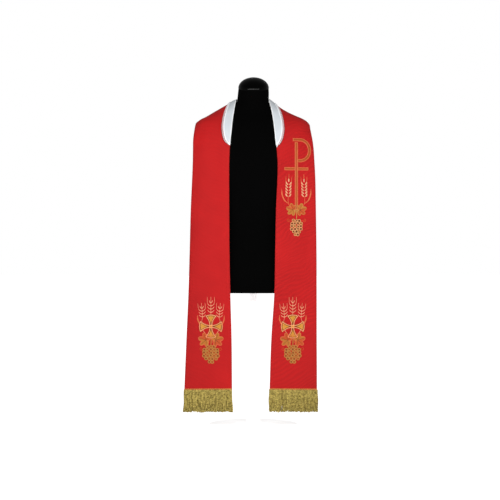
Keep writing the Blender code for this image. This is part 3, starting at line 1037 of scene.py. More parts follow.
@dataclass
class StoleHalf:
    """One half of the stole: a strip of lined cloth from the nape, over a shoulder, to its hem.

    The fine grids run from the nape to the hem and from the neck edge to the outer edge.
    """

    side: Side
    form: DressForm
    thickness: float = 2.0
    clearance: float = 0.9
    held_below_hips: float = 10
    tautening_steps: int = 40
    taut_points: int = 21
    row_step: float = 2.8
    column_step: float = 3.0
    edge_places: tuple[float, ...] = (0.0, 0.35, 1.0, 2.0, 4.0)
    edge_drop: float = 1.6
    edge_reach: float = 5.5
    edge_shade: float = 0.12
    edge_least: float = 0.03
    end_bluntness: float = 0.35
    middle: Array = field(init=False)
    normals: Array = field(init=False)
    face: Array = field(init=False)
    places: Array = field(init=False)
    along: Array = field(init=False)
    band: Array = field(init=False)

    def __post_init__(self) -> None:
        """Pulls the rows taut over the form and refines them into smooth grids."""
        starts, ends, bands, sags = self.coarse_rows()
        taut = np.array([self.taut_row(*row) for row in zip(starts, ends, sags)])
        knots = lengths_along(taut[:, self.taut_points // 2])
        self.along = np.linspace(0, knots[-1], int(knots[-1] / self.row_step) + 1)
        fine = smooth_table(knots, taut.reshape(len(taut), -1), self.along)
        rows = fine.reshape(len(self.along), self.taut_points, 3)
        self.band = np.maximum(smooth_table(knots, bands[:, None], self.along)[:, 0], 0)
        lengths = [lengths_along(row) for row in rows]
        columns = int(max(length[-1] for length in lengths) / self.column_step)
        self.places = np.array([self.column_places(length[-1], columns) for length in lengths])
        read = [np.minimum(places, length[-1]) for places, length in zip(self.places, lengths)]
        under = np.array([smooth_table(*line) for line in zip(lengths, rows, read)])
        under += outward_normals(under) * self.folds()[..., None]
        under = self.held_off(under)
        self.normals = outward_normals(under)
        self.middle = under + self.normals * self.thickness / 2
        self.face = under + self.normals * self.thickness

    def coarse_rows(self) -> tuple[Array, Array, Array, Array]:
        """The ends of the taut rows at both edges, and each row's neck band width and sag."""
        table = np.array(STOLE_ROWS, dtype=float)
        column = {name: table[:, k] for k, name in enumerate(StoleRow._fields)}
        inner_x, outer_x = (self.side * column[f"{self.side.word}_{edge}_x"] for edge in ("in", "out"))
        inner = np.stack([inner_x, column["in_y"], column["in_z"]], axis=1)
        outer = np.stack([outer_x, column["out_y"], column["out_z"]], axis=1)
        knots = lengths_along((inner + outer) / 2)
        places = [0.0]
        for start, end, steps in zip(knots, knots[1:], column["steps"][1:].astype(int)):
            places += list(start + (end - start) * np.arange(1, steps + 1) / steps)
        sags = column["left_sag"] * (self.side == Side.LEFT)
        joined = np.hstack([inner, outer, column["band"][:, None], sags[:, None]])
        smooth = smooth_table(knots, joined, np.array(places))
        smooth[0, [0, 3]] = self.side * SEAM_GAP / 2
        return smooth[:, :3], smooth[:, 3:6], smooth[:, 6], np.maximum(smooth[:, 7], 0)

    def pushed_clear(self, point: Vector) -> Vector:
        """Moves a point out of the form, or off it, until it is the clearance away.

        Args:
            point: The point.

        Returns:
            Where it then is.
        """
        nearest, normal, _, distance = self.form.surface.find_nearest(point)
        outside = (point - nearest).dot(normal) >= 0
        if outside and distance >= self.clearance:
            return point
        away = (point - nearest) if outside else (nearest - point)
        away = away.normalized() if away.length > 1e-4 else normal
        return nearest + away * self.clearance

    def taut_row(self, start: Array, end: Array, sag: float) -> Array:
        """A row pulled between its ends and held off the form, as stiff cloth lies.

        Args:
            start: Its end at the neck edge.
            end: Its end at the outer edge.
            sag: How far it hangs below a straight line.

        Returns:
            Its points, evenly spaced.
        """
        share = np.linspace(0, 1, self.taut_points)
        hung = np.linspace(start, end, self.taut_points)
        hung[:, 2] -= 4 * sag * share * (1 - share)
        row = [self.pushed_clear(Vector(point)) for point in hung]
        weight = Vector((0, 0, 4 * sag / (self.taut_points - 1) ** 2))
        for _ in range(self.tautening_steps):
            relaxed = [(before + after) / 2 - weight for before, after in zip(row, row[2:])]
            row[1:-1] = [self.pushed_clear(point) for point in relaxed]
        line = np.array(row)
        return points_at(line, np.linspace(0, lengths_along(line)[-1], self.taut_points))

    def column_places(self, width: float, columns: int) -> Array:
        """Distances of a row's points from the neck edge: close at both edges, even between."""
        edge = np.array(self.edge_places)
        inside = np.linspace(edge[-1], width - edge[-1], columns)[1:-1]
        return np.concatenate([edge, inside, width - edge[::-1]])

    def swell(self, swells: Sequence[SoftFold]) -> Array:
        """The sum of soft swells over the grid.

        Args:
            swells: The swells.

        Returns:
            Their height at each point.
        """
        along = np.broadcast_to(self.along[:, None], self.places.shape)
        heights = np.zeros(self.places.shape)
        for fold in swells:
            run = (along - fold.along) / fold.length
            reach = (self.places - fold.across - fold.lean * (along - fold.along)) / fold.width
            heights += fold.height * np.exp(-(run**2) - reach**2)
        return heights

    def turned_edge(self) -> Array:
        """How much of the turned edge there is over the grid: all at the edges, none far inside."""
        return np.exp(-((from_edges(self.places) / self.edge_reach) ** 2))

    def folds(self) -> Array:
        """Heights of the soft ridges and troughs over the grid, and the fall of its turned edges."""
        return self.swell(SOFT_FOLDS[self.side]) - self.edge_drop * self.turned_edge()

    def held_off(self, under: Array) -> Array:
        """The grid with each point that comes too near the form moved clear of it."""
        near = under[..., 2] > self.form.rings[0].height - self.held_below_hips
        under[near] = np.array([self.pushed_clear(Vector(point)) for point in under[near]])
        return under

    def on_face(self, rows: Array, distances: Array, rises: Amount) -> Array:
        """Points above the face.

        Args:
            rows: Places along the grid, counted in rows, which may fall between two.
            distances: Distances from the neck edge along those rows.
            rises: Heights above the face.

        Returns:
            One point for each.
        """
        rows, distances, rises = np.broadcast_arrays(rows, distances, rises)
        found = np.zeros((rows.size, 3))
        for k, (row, distance, rise) in enumerate(zip(rows.flat, distances.flat, rises.flat)):
            before = min(int(row), len(self.along) - 2)
            share = row - before
            point, normal = np.zeros(3), np.zeros(3)
            for index, weight in ((before, 1 - share), (before + 1, share)):
                column = np.interp(distance, self.places[index], np.arange(self.places.shape[1]))
                left = min(int(column), self.places.shape[1] - 2)
                between = column - left
                for grid, total in ((self.face, point), (self.normals, normal)):
                    total += weight * (grid[index, left] * (1 - between) + grid[index, left + 1] * between)
            found[k] = point + normal / np.linalg.norm(normal) * rise
        return found.reshape(*rows.shape, 3)

    def build(self) -> Piece:
        """Makes the strip as a closed sheet with round folded edges."""
        inward = np.minimum(from_edges(self.places), from_edges(self.along[None]).T + self.end_bluntness)
        half = rounded(inward, self.thickness / 2, self.edge_least)[..., None]
        parts = np.broadcast_arrays(self.places, self.along[:, None], self.side * DYE_LOT)
        # Painted light and shade: lighter and darker soft patches, and painted shade along the turned edges.
        painted_shading = (1 + self.swell(PAINTED_LIGHT_AND_SHADE[self.side])) * (1 - self.edge_shade * self.turned_edge())
        draft = Draft()
        lower, upper = self.middle - self.normals * half, self.middle + self.normals * half
        draft.wall(lower, upper, np.stack(parts, axis=-1), painted_shading)
        return draft.make(f"stole_{self.side.word}_faille", [RED_FAILLE], f"stole_half_{self.side.word}")

    def cloth_area(self) -> float:
        """The area of one face of the strip, in square metres."""
        one = np.linalg.norm(np.diff(self.middle, axis=0), axis=2).mean(axis=1)
        return float((one * self.places[:-1, -1]).sum()) * MM**2


@dataclass
class NeckBand:
    """The washable white band on the neck edge, with its piped edges and picot lace."""

    halves: dict[Side, StoleHalf]
    gap: float = 0.5
    thickness: float = 1.0
    edge_least: float = 0.04
    columns: int = 16
    woven_width: float = 33
    tip_width: float = 1.6
    tip_power: int = 12
    satin_share: float = 0.87
    piping_radius: float = 1.7
    piping_least: float = 0.35
    piping_growth: float = 0.3
    piping_sides: int = 10
    piping_sink: float = 1.1
    piping_overhang: float = 0.2
    piping_tone: float = 0.7
    lace_width: float = 3.4
    lace_columns: int = 4
    lace_thickness: float = 0.5
    lace_tone: float = 0.8
    taper_rows: float = 4
    taper_least: float = 0.2
    picot_pitch: float = 7.3
    picot_reach: float = 4.8
    picot_thread: float = 0.7
    picot_knot: float = 0.35
    knot_power: int = 6
    picot_rise: float = 0.6
    picot_points: int = 14
    picot_sides: int = 6
    edge_points: int = 1600
    edge_short: float = 0.2
    picot_shadow_width: float = 2.0
    picot_shadow_waist: float = 0.3
    picot_shadow_clear: float = 2.2
    picot_shadow_start: float = 0.9
    picot_shadow_rise: float = 0.1
    picot_shadow_section: tuple[tuple[float, float], ...] = ((-1, 0), (-0.6, 0.3), (0.6, 0.3), (1, 0))

    def last_row(self) -> int:
        """The row of the tips, counted from the nape."""
        return min(int(np.argmax(half.band < self.tip_width)) for half in self.halves.values())

    def both_ways(self, shape: Callable[..., Array], rows: Array, *more: float) -> Array:
        """Points along one half and on along the other.

        Args:
            shape: Makes the points of a half at the given rows.
            rows: Rows from the nape, starting at 0.
            *more: What else the shape is given.

        Returns:
            Points from one tip round the nape to the other tip.
        """
        right, left = (shape(self.halves[side], rows, *more) for side in Side)
        nape = (right[:1] + left[:1]) / 2
        return np.concatenate([right[:0:-1], nape, left[1:]])

    def build(self) -> list[Piece]:
        """Makes the band, its lace and a dark red line of painted shadow round the picots."""
        return [self.band(), self.lace(), self.picot_shadow()]

    def width_at(self, half: StoleHalf, rows: Array) -> Array:
        """The satin's width at the given rows of a half, which runs out to a sharp tip."""
        width = self.satin_share * np.interp(rows, np.arange(len(half.band)), half.band)
        return np.maximum(width - self.tip_width * (rows / self.last_row()) ** self.tip_power, 0)

    def satin(self, half: StoleHalf, rows: Array, level: float) -> Array:
        """Points of one face of the satin: the lower one if level is -1, the upper one if it is 1."""
        places = self.width_at(half, rows)[:, None] * np.linspace(0, 1, self.columns)
        depth = rounded(from_edges(places), self.thickness / 2, self.edge_least)
        return half.on_face(rows[:, None], places, self.gap + self.thickness / 2 + level * depth)

    def band(self) -> Piece:
        """The satin crescent, with a fine round piping along both edges."""
        rows = np.arange(self.last_row() + 1, dtype=float)
        lower, upper = (self.both_ways(self.satin, rows, level) for level in (-1, 1))
        across = np.linspace(0, self.woven_width, self.columns)
        along = lengths_along(upper[:, self.columns // 2])[:, None]
        draft = Draft()
        draft.wall(lower, upper, np.stack(np.broadcast_arrays(across, along, 0.0), axis=-1))
        for edge in (0, 1):
            centres, upwards = (self.both_ways(shape, rows, edge) for shape in (self.cord, self.lift))
            radius = self.both_ways(self.cord_radius, rows)
            draft.loft(tube_rings(centres, upwards, radius, self.piping_sides), self.piping_tone, 1)
        return draft.make("neck_band_satin", [WHITE_SATIN, WHITE_PIPING], "neck_band")

    def cord(self, half: StoleHalf, rows: Array, edge: float) -> Array:
        """The middle of the cord along one edge of the band: 0 at the neck, 1 outside."""
        place = self.width_at(half, rows) * edge - (1 - edge) * self.piping_overhang
        return half.on_face(rows, place, self.gap + self.piping_radius - (1 - edge) * self.piping_sink)

    def lift(self, half: StoleHalf, rows: Array, edge: float) -> Array:
        """The way off the cloth along one edge of the band."""
        place = self.width_at(half, rows) * edge
        return half.on_face(rows, place, 1) - half.on_face(rows, place, 0)

    def cord_radius(self, half: StoleHalf, rows: Array) -> Array:
        """The cord's radius, which falls where the band runs out."""
        thinned = self.piping_least + self.piping_growth * self.width_at(half, rows)
        return np.minimum(self.piping_radius, thinned)

    def tape(self, half: StoleHalf, rows: Array, rise: float) -> Array:
        """Points of one face of the lace's tape, at a rise above the cloth."""
        across = self.tapered(rows)[:, None] * np.linspace(0, self.lace_width, self.lace_columns)
        return half.on_face(rows[:, None], self.width_at(half, rows)[:, None] + SEAM_GAP + across, rise)

    def lace(self) -> Piece:
        """The lace: a narrow tape beside the band, and a thread that loops into picots."""
        rows = np.linspace(0, self.last_row(), self.last_row() * 2 + 1)
        draft = Draft()
        faces = (self.both_ways(self.tape, rows, self.gap + more) for more in (0, self.lace_thickness))
        draft.wall(*faces)
        for half in self.halves.values():
            place, phase = self.picot_places(half)
            loop = np.abs(np.sin(math.pi * phase))
            out = self.lace_width + self.picot_reach * loop
            centres, upwards = self.beside(half, place, out, self.gap + self.picot_thread + self.picot_rise)
            radius = self.picot_thread * (1 + self.picot_knot * loop**self.knot_power)
            draft.loft(tube_rings(centres, upwards, radius, self.picot_sides), self.lace_tone)
        return draft.make("neck_band_picot_lace", [COTTON_LACE], "neck_band_lace")

    def picot_places(self, half: StoleHalf) -> tuple[Array, Array]:
        """Finds the picots along the lace's edge.

        Args:
            half: The half that it lies on.

        Returns:
            Rows along it, close together, and the count of picots up to each.
        """
        fine = np.linspace(0, self.last_row() - self.edge_short, self.edge_points)
        lengths = lengths_along(half.on_face(fine, self.width_at(half, fine) + self.lace_width, 0))
        picots = round(lengths[-1] / self.picot_pitch)
        phase = np.linspace(0, picots, picots * self.picot_points + 1)
        return np.interp(phase / picots * lengths[-1], lengths, fine), phase

    def tapered(self, rows: Array) -> Array:
        """How much of their full size the picots have at the given rows: less at the very tips."""
        return np.clip((self.last_row() - rows) / self.taper_rows, self.taper_least, 1)

    def beside(
        self, half: StoleHalf, rows: Array, out: Array, rise: float
    ) -> tuple[Array, Array]:
        """A line on the cloth beside the satin, and the way off the cloth along it.

        Args:
            half: The half that it lies on.
            rows: Where its points lie along that half.
            out: How far outside the satin they lie, before the tips taper it.
            rise: How high they lie above the cloth.

        Returns:
            The line's points, and a direction at each.
        """
        reach = self.width_at(half, rows) + out * self.tapered(rows)
        centres = half.on_face(rows, reach, rise)
        return centres, half.on_face(rows, reach, rise + 1) - centres

    def picot_shadow(self) -> Piece:
        """A dark red line of painted shadow round the picots, seen between them."""
        section = np.array(self.picot_shadow_section)
        draft = Draft()
        for half in self.halves.values():
            place, phase = self.picot_places(half)
            # The painted shadow swings out round each picot and narrows there.
            loop = np.sin(math.pi * phase) ** 2
            wander = self.picot_shadow_start + (self.picot_shadow_clear - self.picot_shadow_start) * loop
            out = self.lace_width + self.picot_reach + wander
            centres, upwards = self.beside(half, place, out, self.picot_shadow_rise)
            across = np.cross(unit(np.gradient(centres, axis=0)), upwards)
            shadow_half_width = self.picot_shadow_width / 2 * (1 - self.picot_shadow_waist * loop)
            spread = across[:, None] * (shadow_half_width[:, None] * section[:, 0])[..., None]
            draft.loft(centres[:, None] + spread + upwards[:, None] * section[None, :, 1:])
        return draft.make("neck_band_picot_shadow", [PICOT_SHADOW_THREAD])


# ----------------------------------------------------------------------------------------------- fringe


@dataclass
class Fringe:
    """A gold bullion fringe: three rows of plump strands, each of two plies twisted round each other."""

    half: StoleHalf
    heading: float = 5.2
    heading_lay: float = 6.5
    heading_plies: int = 3
    heading_lobes: float = 0.14
    heading_sides: int = 18
    tucked: float = 0.9
    hem_step: float = 1.0
    length: float = 78
    pitch: float = 4.4
    rows: int = 3
    row_gap: float = 2.5
    first_place: float = 0.3
    row_shift: float = 0.4
    place_spread: float = 0.07
    strand_radius: float = 2.3
    strand_sides: int = 10
    strand_plies: int = 2
    strand_swell: float = 0.06
    swell_run: float = 9
    lobes: float = 0.32
    twist: float = 12.0
    twist_range: tuple[float, float] = (0.85, 1.15)
    ring_step: float = 1.7
    ring_crowding: float = 0.985
    tip_length: float = 1.5
    tip_least: float = 0.02
    splay: float = 2.6
    splay_power: float = 1.2
    sway: float = 1.5
    sway_depth: float = 0.6
    sway_power: float = 0.7
    sway_turns: tuple[float, float] = (1.1, 1.7)
    unevenness: float = 1.7
    tone_spread: float = 0.16
    ply_shading: float = 0.4
    darker_to_tips: float = 0.3
    seed: int = 7

    def build(self) -> Piece:
        """Makes the heading and the strands as one piece."""
        hem = evenly(self.half.middle[-1], self.hem_step)
        length = lengths_along(hem)[-1]
        along = unit(hem[-1] - hem[0])
        outwards = unit(np.cross(along, np.array([0.0, 0.0, 1.0])))
        random = np.random.default_rng(self.seed + int(self.half.side))
        draft = Draft()
        self.add_heading(draft, hem, outwards)
        count = round(length / self.pitch)
        for row in range(self.rows):
            for k in range(count):
                shift = self.first_place + self.row_shift * row + self.place_spread * random.normal()
                place = np.clip((k + shift) / count, 0, 1)
                root = points_at(hem, place * length)
                root += outwards * (row - (self.rows - 1) / 2) * self.row_gap
                root[2] -= SEAM_GAP + self.heading / 2
                self.add_strand(draft, root, along * (2 * place - 1) * self.splay, random)
        word = self.half.side.word
        return draft.make(f"fringe_{word}_bullion", [BULLION, HEADING_CORD], f"fringe_{word}", 80)

    def add_heading(self, draft: Draft, hem: Array, outwards: Array) -> None:
        """Adds the cord that heads the fringe, laid close under the hem.

        Args:
            draft: The fringe so far.
            hem: The middle of the hem.
            outwards: The way off the cloth.
        """
        centres = hem - np.array([0, 0, self.heading / 2 - self.tucked])
        turn = round_turn(self.heading_sides)
        lay = lengths_along(centres) / self.heading_lay * 2 * math.pi
        ply = np.cos(self.heading_plies * turn - lay[:, None])
        radius = self.heading / 2 * (1 + self.heading_lobes * ply)
        rings = (
            centres[:, None]
            + (radius * np.cos(turn))[..., None] * np.array([0.0, 0.0, 1.0])
            + (radius * np.sin(turn))[..., None] * outwards
        )
        # Painted shade: the cord is lighter on its plies' crests and darker in the grooves between them.
        draft.loft(rings, (0.5 + 0.5 * ply).ravel(), 1)

    def add_strand(
        self, draft: Draft, root: Array, spread: Array, random: np.random.Generator
    ) -> None:
        """Adds one strand, which hangs a little crooked and has a round end.

        Args:
            draft: The fringe so far.
            root: Where the strand leaves the heading.
            spread: How far its tip leans along the hem.
            random: Makes the strands uneven.
        """
        length = self.length + self.unevenness * random.normal()
        even = np.linspace(0, 1, int(length / self.ring_step) + 1)
        share = even ** np.linspace(1, self.ring_crowding, len(even))
        drop = length * share
        phases = random.uniform(0, 2 * math.pi, 4)
        centres = root + share[:, None] ** self.splay_power * spread
        for axis, depth, turns in zip((0, 1), (1, self.sway_depth), self.sway_turns):
            swing = np.sin(phases[axis] + share * 2 * math.pi * turns)
            centres[:, axis] += self.sway * depth * share**self.sway_power * swing
        centres[:, 2] -= drop
        turn = round_turn(self.strand_sides)
        twist = phases[2] + 2 * math.pi * drop / (self.twist * random.uniform(*self.twist_range))
        ply = np.cos(self.strand_plies * (turn - twist[:, None]))
        left = np.clip((length - drop) / (self.strand_radius * self.tip_length), self.tip_least, 1)
        swell = 1 + self.strand_swell * np.sin(phases[3] + self.swell_run * share)
        size = self.strand_radius * np.sqrt(1 - (1 - left) ** 2) * swell
        radius = size[:, None] * (1 + self.lobes * ply)
        offsets = [radius * np.cos(turn), radius * np.sin(turn), np.zeros_like(radius)]
        # Painted shade: each strand is lighter on its plies' crests and darker in the grooves between them.
        # Its tone also differs at random and grows darker towards the tip.
        tone = random.normal(0.5, self.tone_spread) + self.ply_shading * ply - self.darker_to_tips * share[:, None]
        draft.loft(centres[:, None] + np.stack(offsets, axis=-1), np.clip(tone, 0, 1).ravel())


# ------------------------------------------------------------------------------------------- embroidery


@dataclass
class Needlework:
    """Stitches gathered for one motif, in the upright plane of its panel, then laid on the cloth.

    Places are (across, up) from the motif's middle. Across grows to +X.
    """

    middle: tuple[float, float]
    pitch: float = 1.0
    rise: float = 0.75
    sunk: float = 0.05
    longest: float = 9.0
    shortest: float = 0.6
    least_end: float = 1.5
    stitch_step: float = 2.5
    taper_places: tuple[float, ...] = (0, 0.3, 0.7, 1)
    end_rise: float = 0.3
    valley: float = 0.72
    slant: float = 0.12
    slant_width: float = 4.0
    section: tuple[tuple[float, float], ...] = ((-1, 0), (-0.7, 0.68), (0, 1), (0.7, 0.68), (1, 0))
    laid_section: tuple[tuple[float, float], ...] = ((-0.5, 0.35), (0, 1), (0.5, 0.35))
    padding: float = 1.15
    outline_step: float = 2.0
    outline_width: float = 2.2
    flat: list[Array] = field(default_factory=list)
    bodies: list[tuple[int, int, int, float]] = field(default_factory=list)

    def rings(self, flat: Array, heights: Array, thread: Thread, tone: float) -> None:
        """Adds one stitched body.

        Args:
            flat: Rings of (across, up) points.
            heights: How high each point stands.
            thread: What it is sewn in.
            tone: How light the thread is here, from 0 to 1.
        """
        rings = np.concatenate([flat, (self.sunk + heights)[..., None]], axis=-1)
        self.flat.append(rings.reshape(-1, 3))
        self.bodies.append((*rings.shape[:2], thread.slot, tone))

    def ways_along(self, line: Array) -> tuple[Array, Array]:
        """The ways along and across a line at each of its points."""
        along = unit(np.gradient(line, axis=0))
        return along, np.stack([-along[:, 1], along[:, 0]], axis=1)

    def column(
        self,
        path: Array,
        thread: Thread,
        width: float,
        ends: tuple[float, float] = (1.0, 1.0),
        rise: float | None = None,
    ) -> None:
        """Lays a column of satin stitches along a path.

        Args:
            path: The middle of the column.
            thread: What it is sewn in.
            width: Its full width.
            ends: The width at its start and end, as shares of the full one.
            rise: How high it stands, if not as high as the rest.
        """
        line = evenly(path, self.pitch / 2)
        along, across = self.ways_along(line)
        taper = np.interp(np.linspace(0, 1, len(line)), self.taper_places, [ends[0], 1, 1, ends[1]])
        thread_row = np.where(np.arange(len(line)) % 2 == 0, 1.0, self.valley)
        top = (self.rise if rise is None else rise) * np.minimum(1, taper + self.end_rise) * thread_row
        profile, heights = np.array(self.section, dtype=float).T
        skew = along[:, None] * (profile[:, None] * min(width, self.slant_width) * self.slant)
        half = (width / 2 * taper[:, None] * profile)[..., None]
        tone = 0.55 + 0.1 * math.sin(3.1 * len(self.bodies))
        self.rings(line[:, None] + across[:, None] * half + skew, top[:, None] * heights, thread, tone)

    def band(self, path: Array, width: float, inside: Thread, outline: Thread) -> None:
        """Lays a wide column with an outline all round.

        Args:
            path: The middle of the column.
            width: Its width without the outline.
            inside: What it is sewn in.
            outline: What its outline is sewn in.
        """
        edge = self.outline_width
        line = evenly(path, self.outline_step)
        along, across = self.ways_along(line)
        self.column(path, inside, width, rise=self.rise * self.padding)
        for way in (-1, 1):
            self.column(line + across * way * (width + edge) / 2, outline, edge)
        for end in (0, -1):
            reach = across[end] * (width / 2 + edge)
            outwards = along[end] * (edge / 2 if end else -edge / 2)
            self.column(np.array([line[end] - reach, line[end] + reach]) + outwards, outline, edge)

    def fill(self, outline: Array, thread: Thread, turn: float, rise: float | None = None) -> None:
        """Fills an outline with rows of laid stitches.

        Args:
            outline: The shape's corners, in order.
            thread: What it is sewn in.
            turn: The stitches' direction, in degrees from across.
            rise: How high they stand, if not as high as the rest.
        """
        ways = turned_by(np.eye(2), turn)
        ahead, aside = ways @ outline.T
        ahead_next, aside_next = np.roll(ahead, -1), np.roll(aside, -1)
        top = self.rise if rise is None else rise
        levels = np.arange(aside.min() + self.pitch / 2, aside.max(), self.pitch)
        for row, level in enumerate(levels):
            crossed = (aside - level) * (aside_next - level) < 0
            share = (level - aside[crossed]) / (aside_next[crossed] - aside[crossed])
            cuts = np.sort(ahead[crossed] + share * (ahead_next[crossed] - ahead[crossed]))
            for span in zip(cuts[::2], cuts[1::2]):
                self.stitches(span, level, row, ways, thread, top)

    def stitches(
        self,
        span: tuple[float, float],
        level: float,
        row: int,
        ways: Array,
        thread: Thread,
        top: float,
    ) -> None:
        """Lays one row of a filling, in stitches no longer than a thread can lie.

        Args:
            span: Where the row starts and ends, ahead.
            level: Where it lies, aside.
            row: Which row it is.
            ways: The directions ahead and aside.
            thread: What it is sewn in.
            top: How high it stands.
        """
        start, end = span
        shift = (row % 3) / 3 * self.longest
        breaks = np.arange(math.floor(start / self.longest) * self.longest + shift, end, self.longest)
        breaks = breaks[(breaks > start + self.least_end) & (breaks < end - self.least_end)]
        offsets, heights = np.array(self.laid_section, dtype=float).T
        aside = (level + offsets * self.pitch)[:, None] * ways[1]
        for left, right in zip([start, *breaks], [*breaks, end]):
            if right - left < self.shortest:
                continue
            share = np.linspace(0, 1, max(int((right - left) / self.stitch_step), 2) + 1)
            height = top * np.clip(1 - np.abs(2 * share - 1) ** 3, 0.25, 1)
            ahead = (left + share * (right - left))[:, None, None] * ways[0]
            tone = 0.5 + 0.14 * math.sin(2.7 * row) + 0.1 * math.sin(5.1 * left)
            self.rings(ahead + aside, height[:, None] * heights, thread, tone)

    def make(self, name: str, half: StoleHalf) -> Piece:
        """Lays the stitches on the panel's face.

        Args:
            name: The piece's name.
            half: The half of the stole that it is sewn on.

        Returns:
            The embroidery, one piece with a material for each thread.
        """
        cells = grid_faces(*half.face.shape[:2]).tolist()
        surface = BVHTree.FromPolygons(half.face.reshape(-1, 3).tolist(), cells)
        flat = np.concatenate(self.flat)
        placed = np.zeros_like(flat)
        backwards = Vector((0, 1, 0))
        for k, (across, up, rise) in enumerate(flat):
            start = Vector((self.middle[0] + across, -1000, self.middle[1] + up))
            point, normal, _, _ = surface.ray_cast(start, backwards)
            if point is None:
                raise ValueError(f"{name} reaches past the edge of the cloth at {start}")
            placed[k] = point + (normal if normal.y < 0 else -normal) * rise
        draft = Draft()
        first = 0
        for count, sides, slot, tone in self.bodies:
            draft.loft(placed[first : first + count * sides].reshape(count, sides, 3), tone, slot)
            first += count * sides
        return draft.make(name, [thread.finish() for thread in Thread], angle=70)


def circle(middle: Sequence[float], radius: float, count: int = 20) -> Array:
    """Points round a circle."""
    turn = round_turn(count)
    return np.array(middle) + radius * np.stack([np.cos(turn), np.sin(turn)], axis=1)


def turned_by(points: Array, degrees: float) -> Array:
    """The points turned about the middle."""
    angle = math.radians(degrees)
    forward = np.array([math.cos(angle), math.sin(angle)])
    return points[:, :1] * forward + points[:, 1:] * np.array([-forward[1], forward[0]])


def run_on(loop: Array) -> Array:
    """A loop of points run on past its start, so that a column of stitches round it closes."""
    return np.concatenate([loop, loop[:2]])


@dataclass
class Motifs:
    """Traditional church motifs, drawn with the needle: crosses, wheat, vine leaves and grapes.

    What is drawn upright is then put at a foot and a lean: where it stands, and its lean from upright in
    degrees, to the right if positive.
    """

    work: Needlework
    outline_width: float = 2.9
    outer_shade_width: float = 4.7
    shade_width: float = 2.2
    waist: float = 0.085
    mouth: float = 0.43
    arm_length: float = 0.8
    arm_curve: float = 2.1
    grain_reach: float = 12.0
    grain_step: float = 0.8
    awn_width: float = 1.3
    nudged: float = 0.9
    leaf_stem: float = 0.24
    leaf_lobes: tuple[tuple[float, float], ...] = (
        (0, 1.0),
        (14, 0.9),
        (31, 0.62),
        (52, 0.96),
        (66, 0.9),
        (84, 0.58),
        (108, 0.84),
        (124, 0.74),
        (146, 0.5),
        (168, 0.42),
        (180, 0.14),
    )
    leaf_veins: tuple[tuple[float, float], ...] = (
        (0, 0.9),
        (56, 0.8),
        (-56, 0.8),
        (112, 0.62),
        (-112, 0.62),
    )

    def leant(self, points: Points, at: Placed) -> Array:
        """Points of an upright shape, put at a foot and a lean."""
        foot, lean = at
        return turned_by(np.array(points, dtype=float), -lean) + np.array(foot)

    def sewn(
        self,
        points: Points,
        at: Placed,
        thread: Thread,
        width: float,
        ends: tuple[float, float] = (1.0, 1.0),
        rise: float | None = None,
        step: float = 1.5,
    ) -> None:
        """Lays a column along a smooth curve of an upright shape.

        Args:
            points: Points of the curve.
            at: Its foot and its lean.
            thread: What it is sewn in.
            width: Its full width.
            ends: The width at its start and end, as shares of the full one.
            rise: How high it stands, if not as high as the rest.
            step: How close the curve's points are.
        """
        self.work.column(curve_through(self.leant(points, at), step), thread, width, ends, rise)

    def pattee_arm(self, radius: float, start: float, inset: float) -> Array:
        """The outline of a cross's upright arm.

        Args:
            radius: Half the width of the cross.
            start: Where the outline starts, as a share of the arm's length.
            inset: How far it is drawn in.

        Returns:
            Its points, in order.
        """
        waist, mouth, length = radius * self.waist, radius * self.mouth, radius * self.arm_length
        foot = waist * 1.2
        reach = math.hypot(mouth, foot + length) - inset
        top = math.sqrt(reach**2 - (mouth - inset) ** 2)
        share = np.linspace(start, (top - foot) / length, 14)
        across = waist + (mouth - waist) * share**self.arm_curve - inset
        side = np.stack([across, foot + length * share], axis=1)
        swing = math.atan2(side[-1, 0], side[-1, 1])
        turn = np.linspace(swing, -swing, 9)[1:-1]
        rim = reach * np.stack([np.sin(turn), np.cos(turn)], axis=1)
        return np.concatenate([side, rim, side[::-1] * np.array([-1, 1])])

    def cross_pattee(self, middle: Sequence[float], radius: float) -> None:
        """A cross whose four arms widen to a circle, each with a dark line of painted shade inside its
        outline and a wider one under it.

        Args:
            middle: Its middle.
            radius: Half its width.
        """
        outline, shade = self.outline_width / 2, self.shade_width
        insets = ((0, 0), (0.14, outline + shade / 2), (0.3, outline + shade))
        arms = [self.pattee_arm(radius, start, inset) for start, inset in insets]
        self.work.fill(circle(middle, radius * self.waist * 1.3, 12), Thread.AMBER, 45)
        for turn in range(0, 360, 90):
            edge, line, inside = (turned_by(arm, turn) + np.array(middle) for arm in arms)
            self.work.fill(inside, Thread.AMBER, turn)
            # Painted shade: dark umber lines just inside each outline and under it, a little wider, stand in
            # for the shade beside the raised outline.
            self.work.column(run_on(line), Thread.UMBER, shade, rise=0.5)
            self.work.column(run_on(edge), Thread.UMBER, self.outer_shade_width, rise=0.3)
            self.work.column(run_on(edge), Thread.PALE_GOLD, self.outline_width)

    def wheat(self, at: Placed, ear: float, pairs: int = 3) -> None:
        """A thin ear of wheat: long open grains in a herringbone on a knotted spine, with awns.

        Args:
            at: Its foot and its lean.
            ear: The ear's length without its awns.
            pairs: Pairs of grains.
        """
        step = ear / (pairs + 0.4)
        self.sewn([(0, -step * 0.3), (0, ear)], at, Thread.PEACH, 1.4, rise=0.5)
        for k in range(pairs + 1):
            low = k * step
            reach = self.grain_reach * (1 if k < pairs else 0.55)
            knot = self.leant(circle((0, low + step * 0.2), 2.3, 10), at)
            self.work.fill(knot, Thread.CREAM, 90 - at[1], 0.9)
            for way in (-1, 1):
                tip = np.array([way * reach, low + step * 0.95])
                grain = [(way, low + 1), (way * reach * 0.65, low + step * 0.45), tip]
                self.sewn(grain, at, Thread.PEACH, 2.4, (0.9, 0.4), step=self.grain_step)
                if k == pairs - 1:
                    awn = [tip, tip + (way * 0.6, step * 0.8), tip + (way * 0.8, step * 2)]
                    self.sewn(awn, at, Thread.PEACH, self.awn_width, (1, 0.6), 0.4)
        self.sewn([(0, ear), (0, ear + step * 1.6)], at, Thread.PEACH, self.awn_width, rise=0.4)

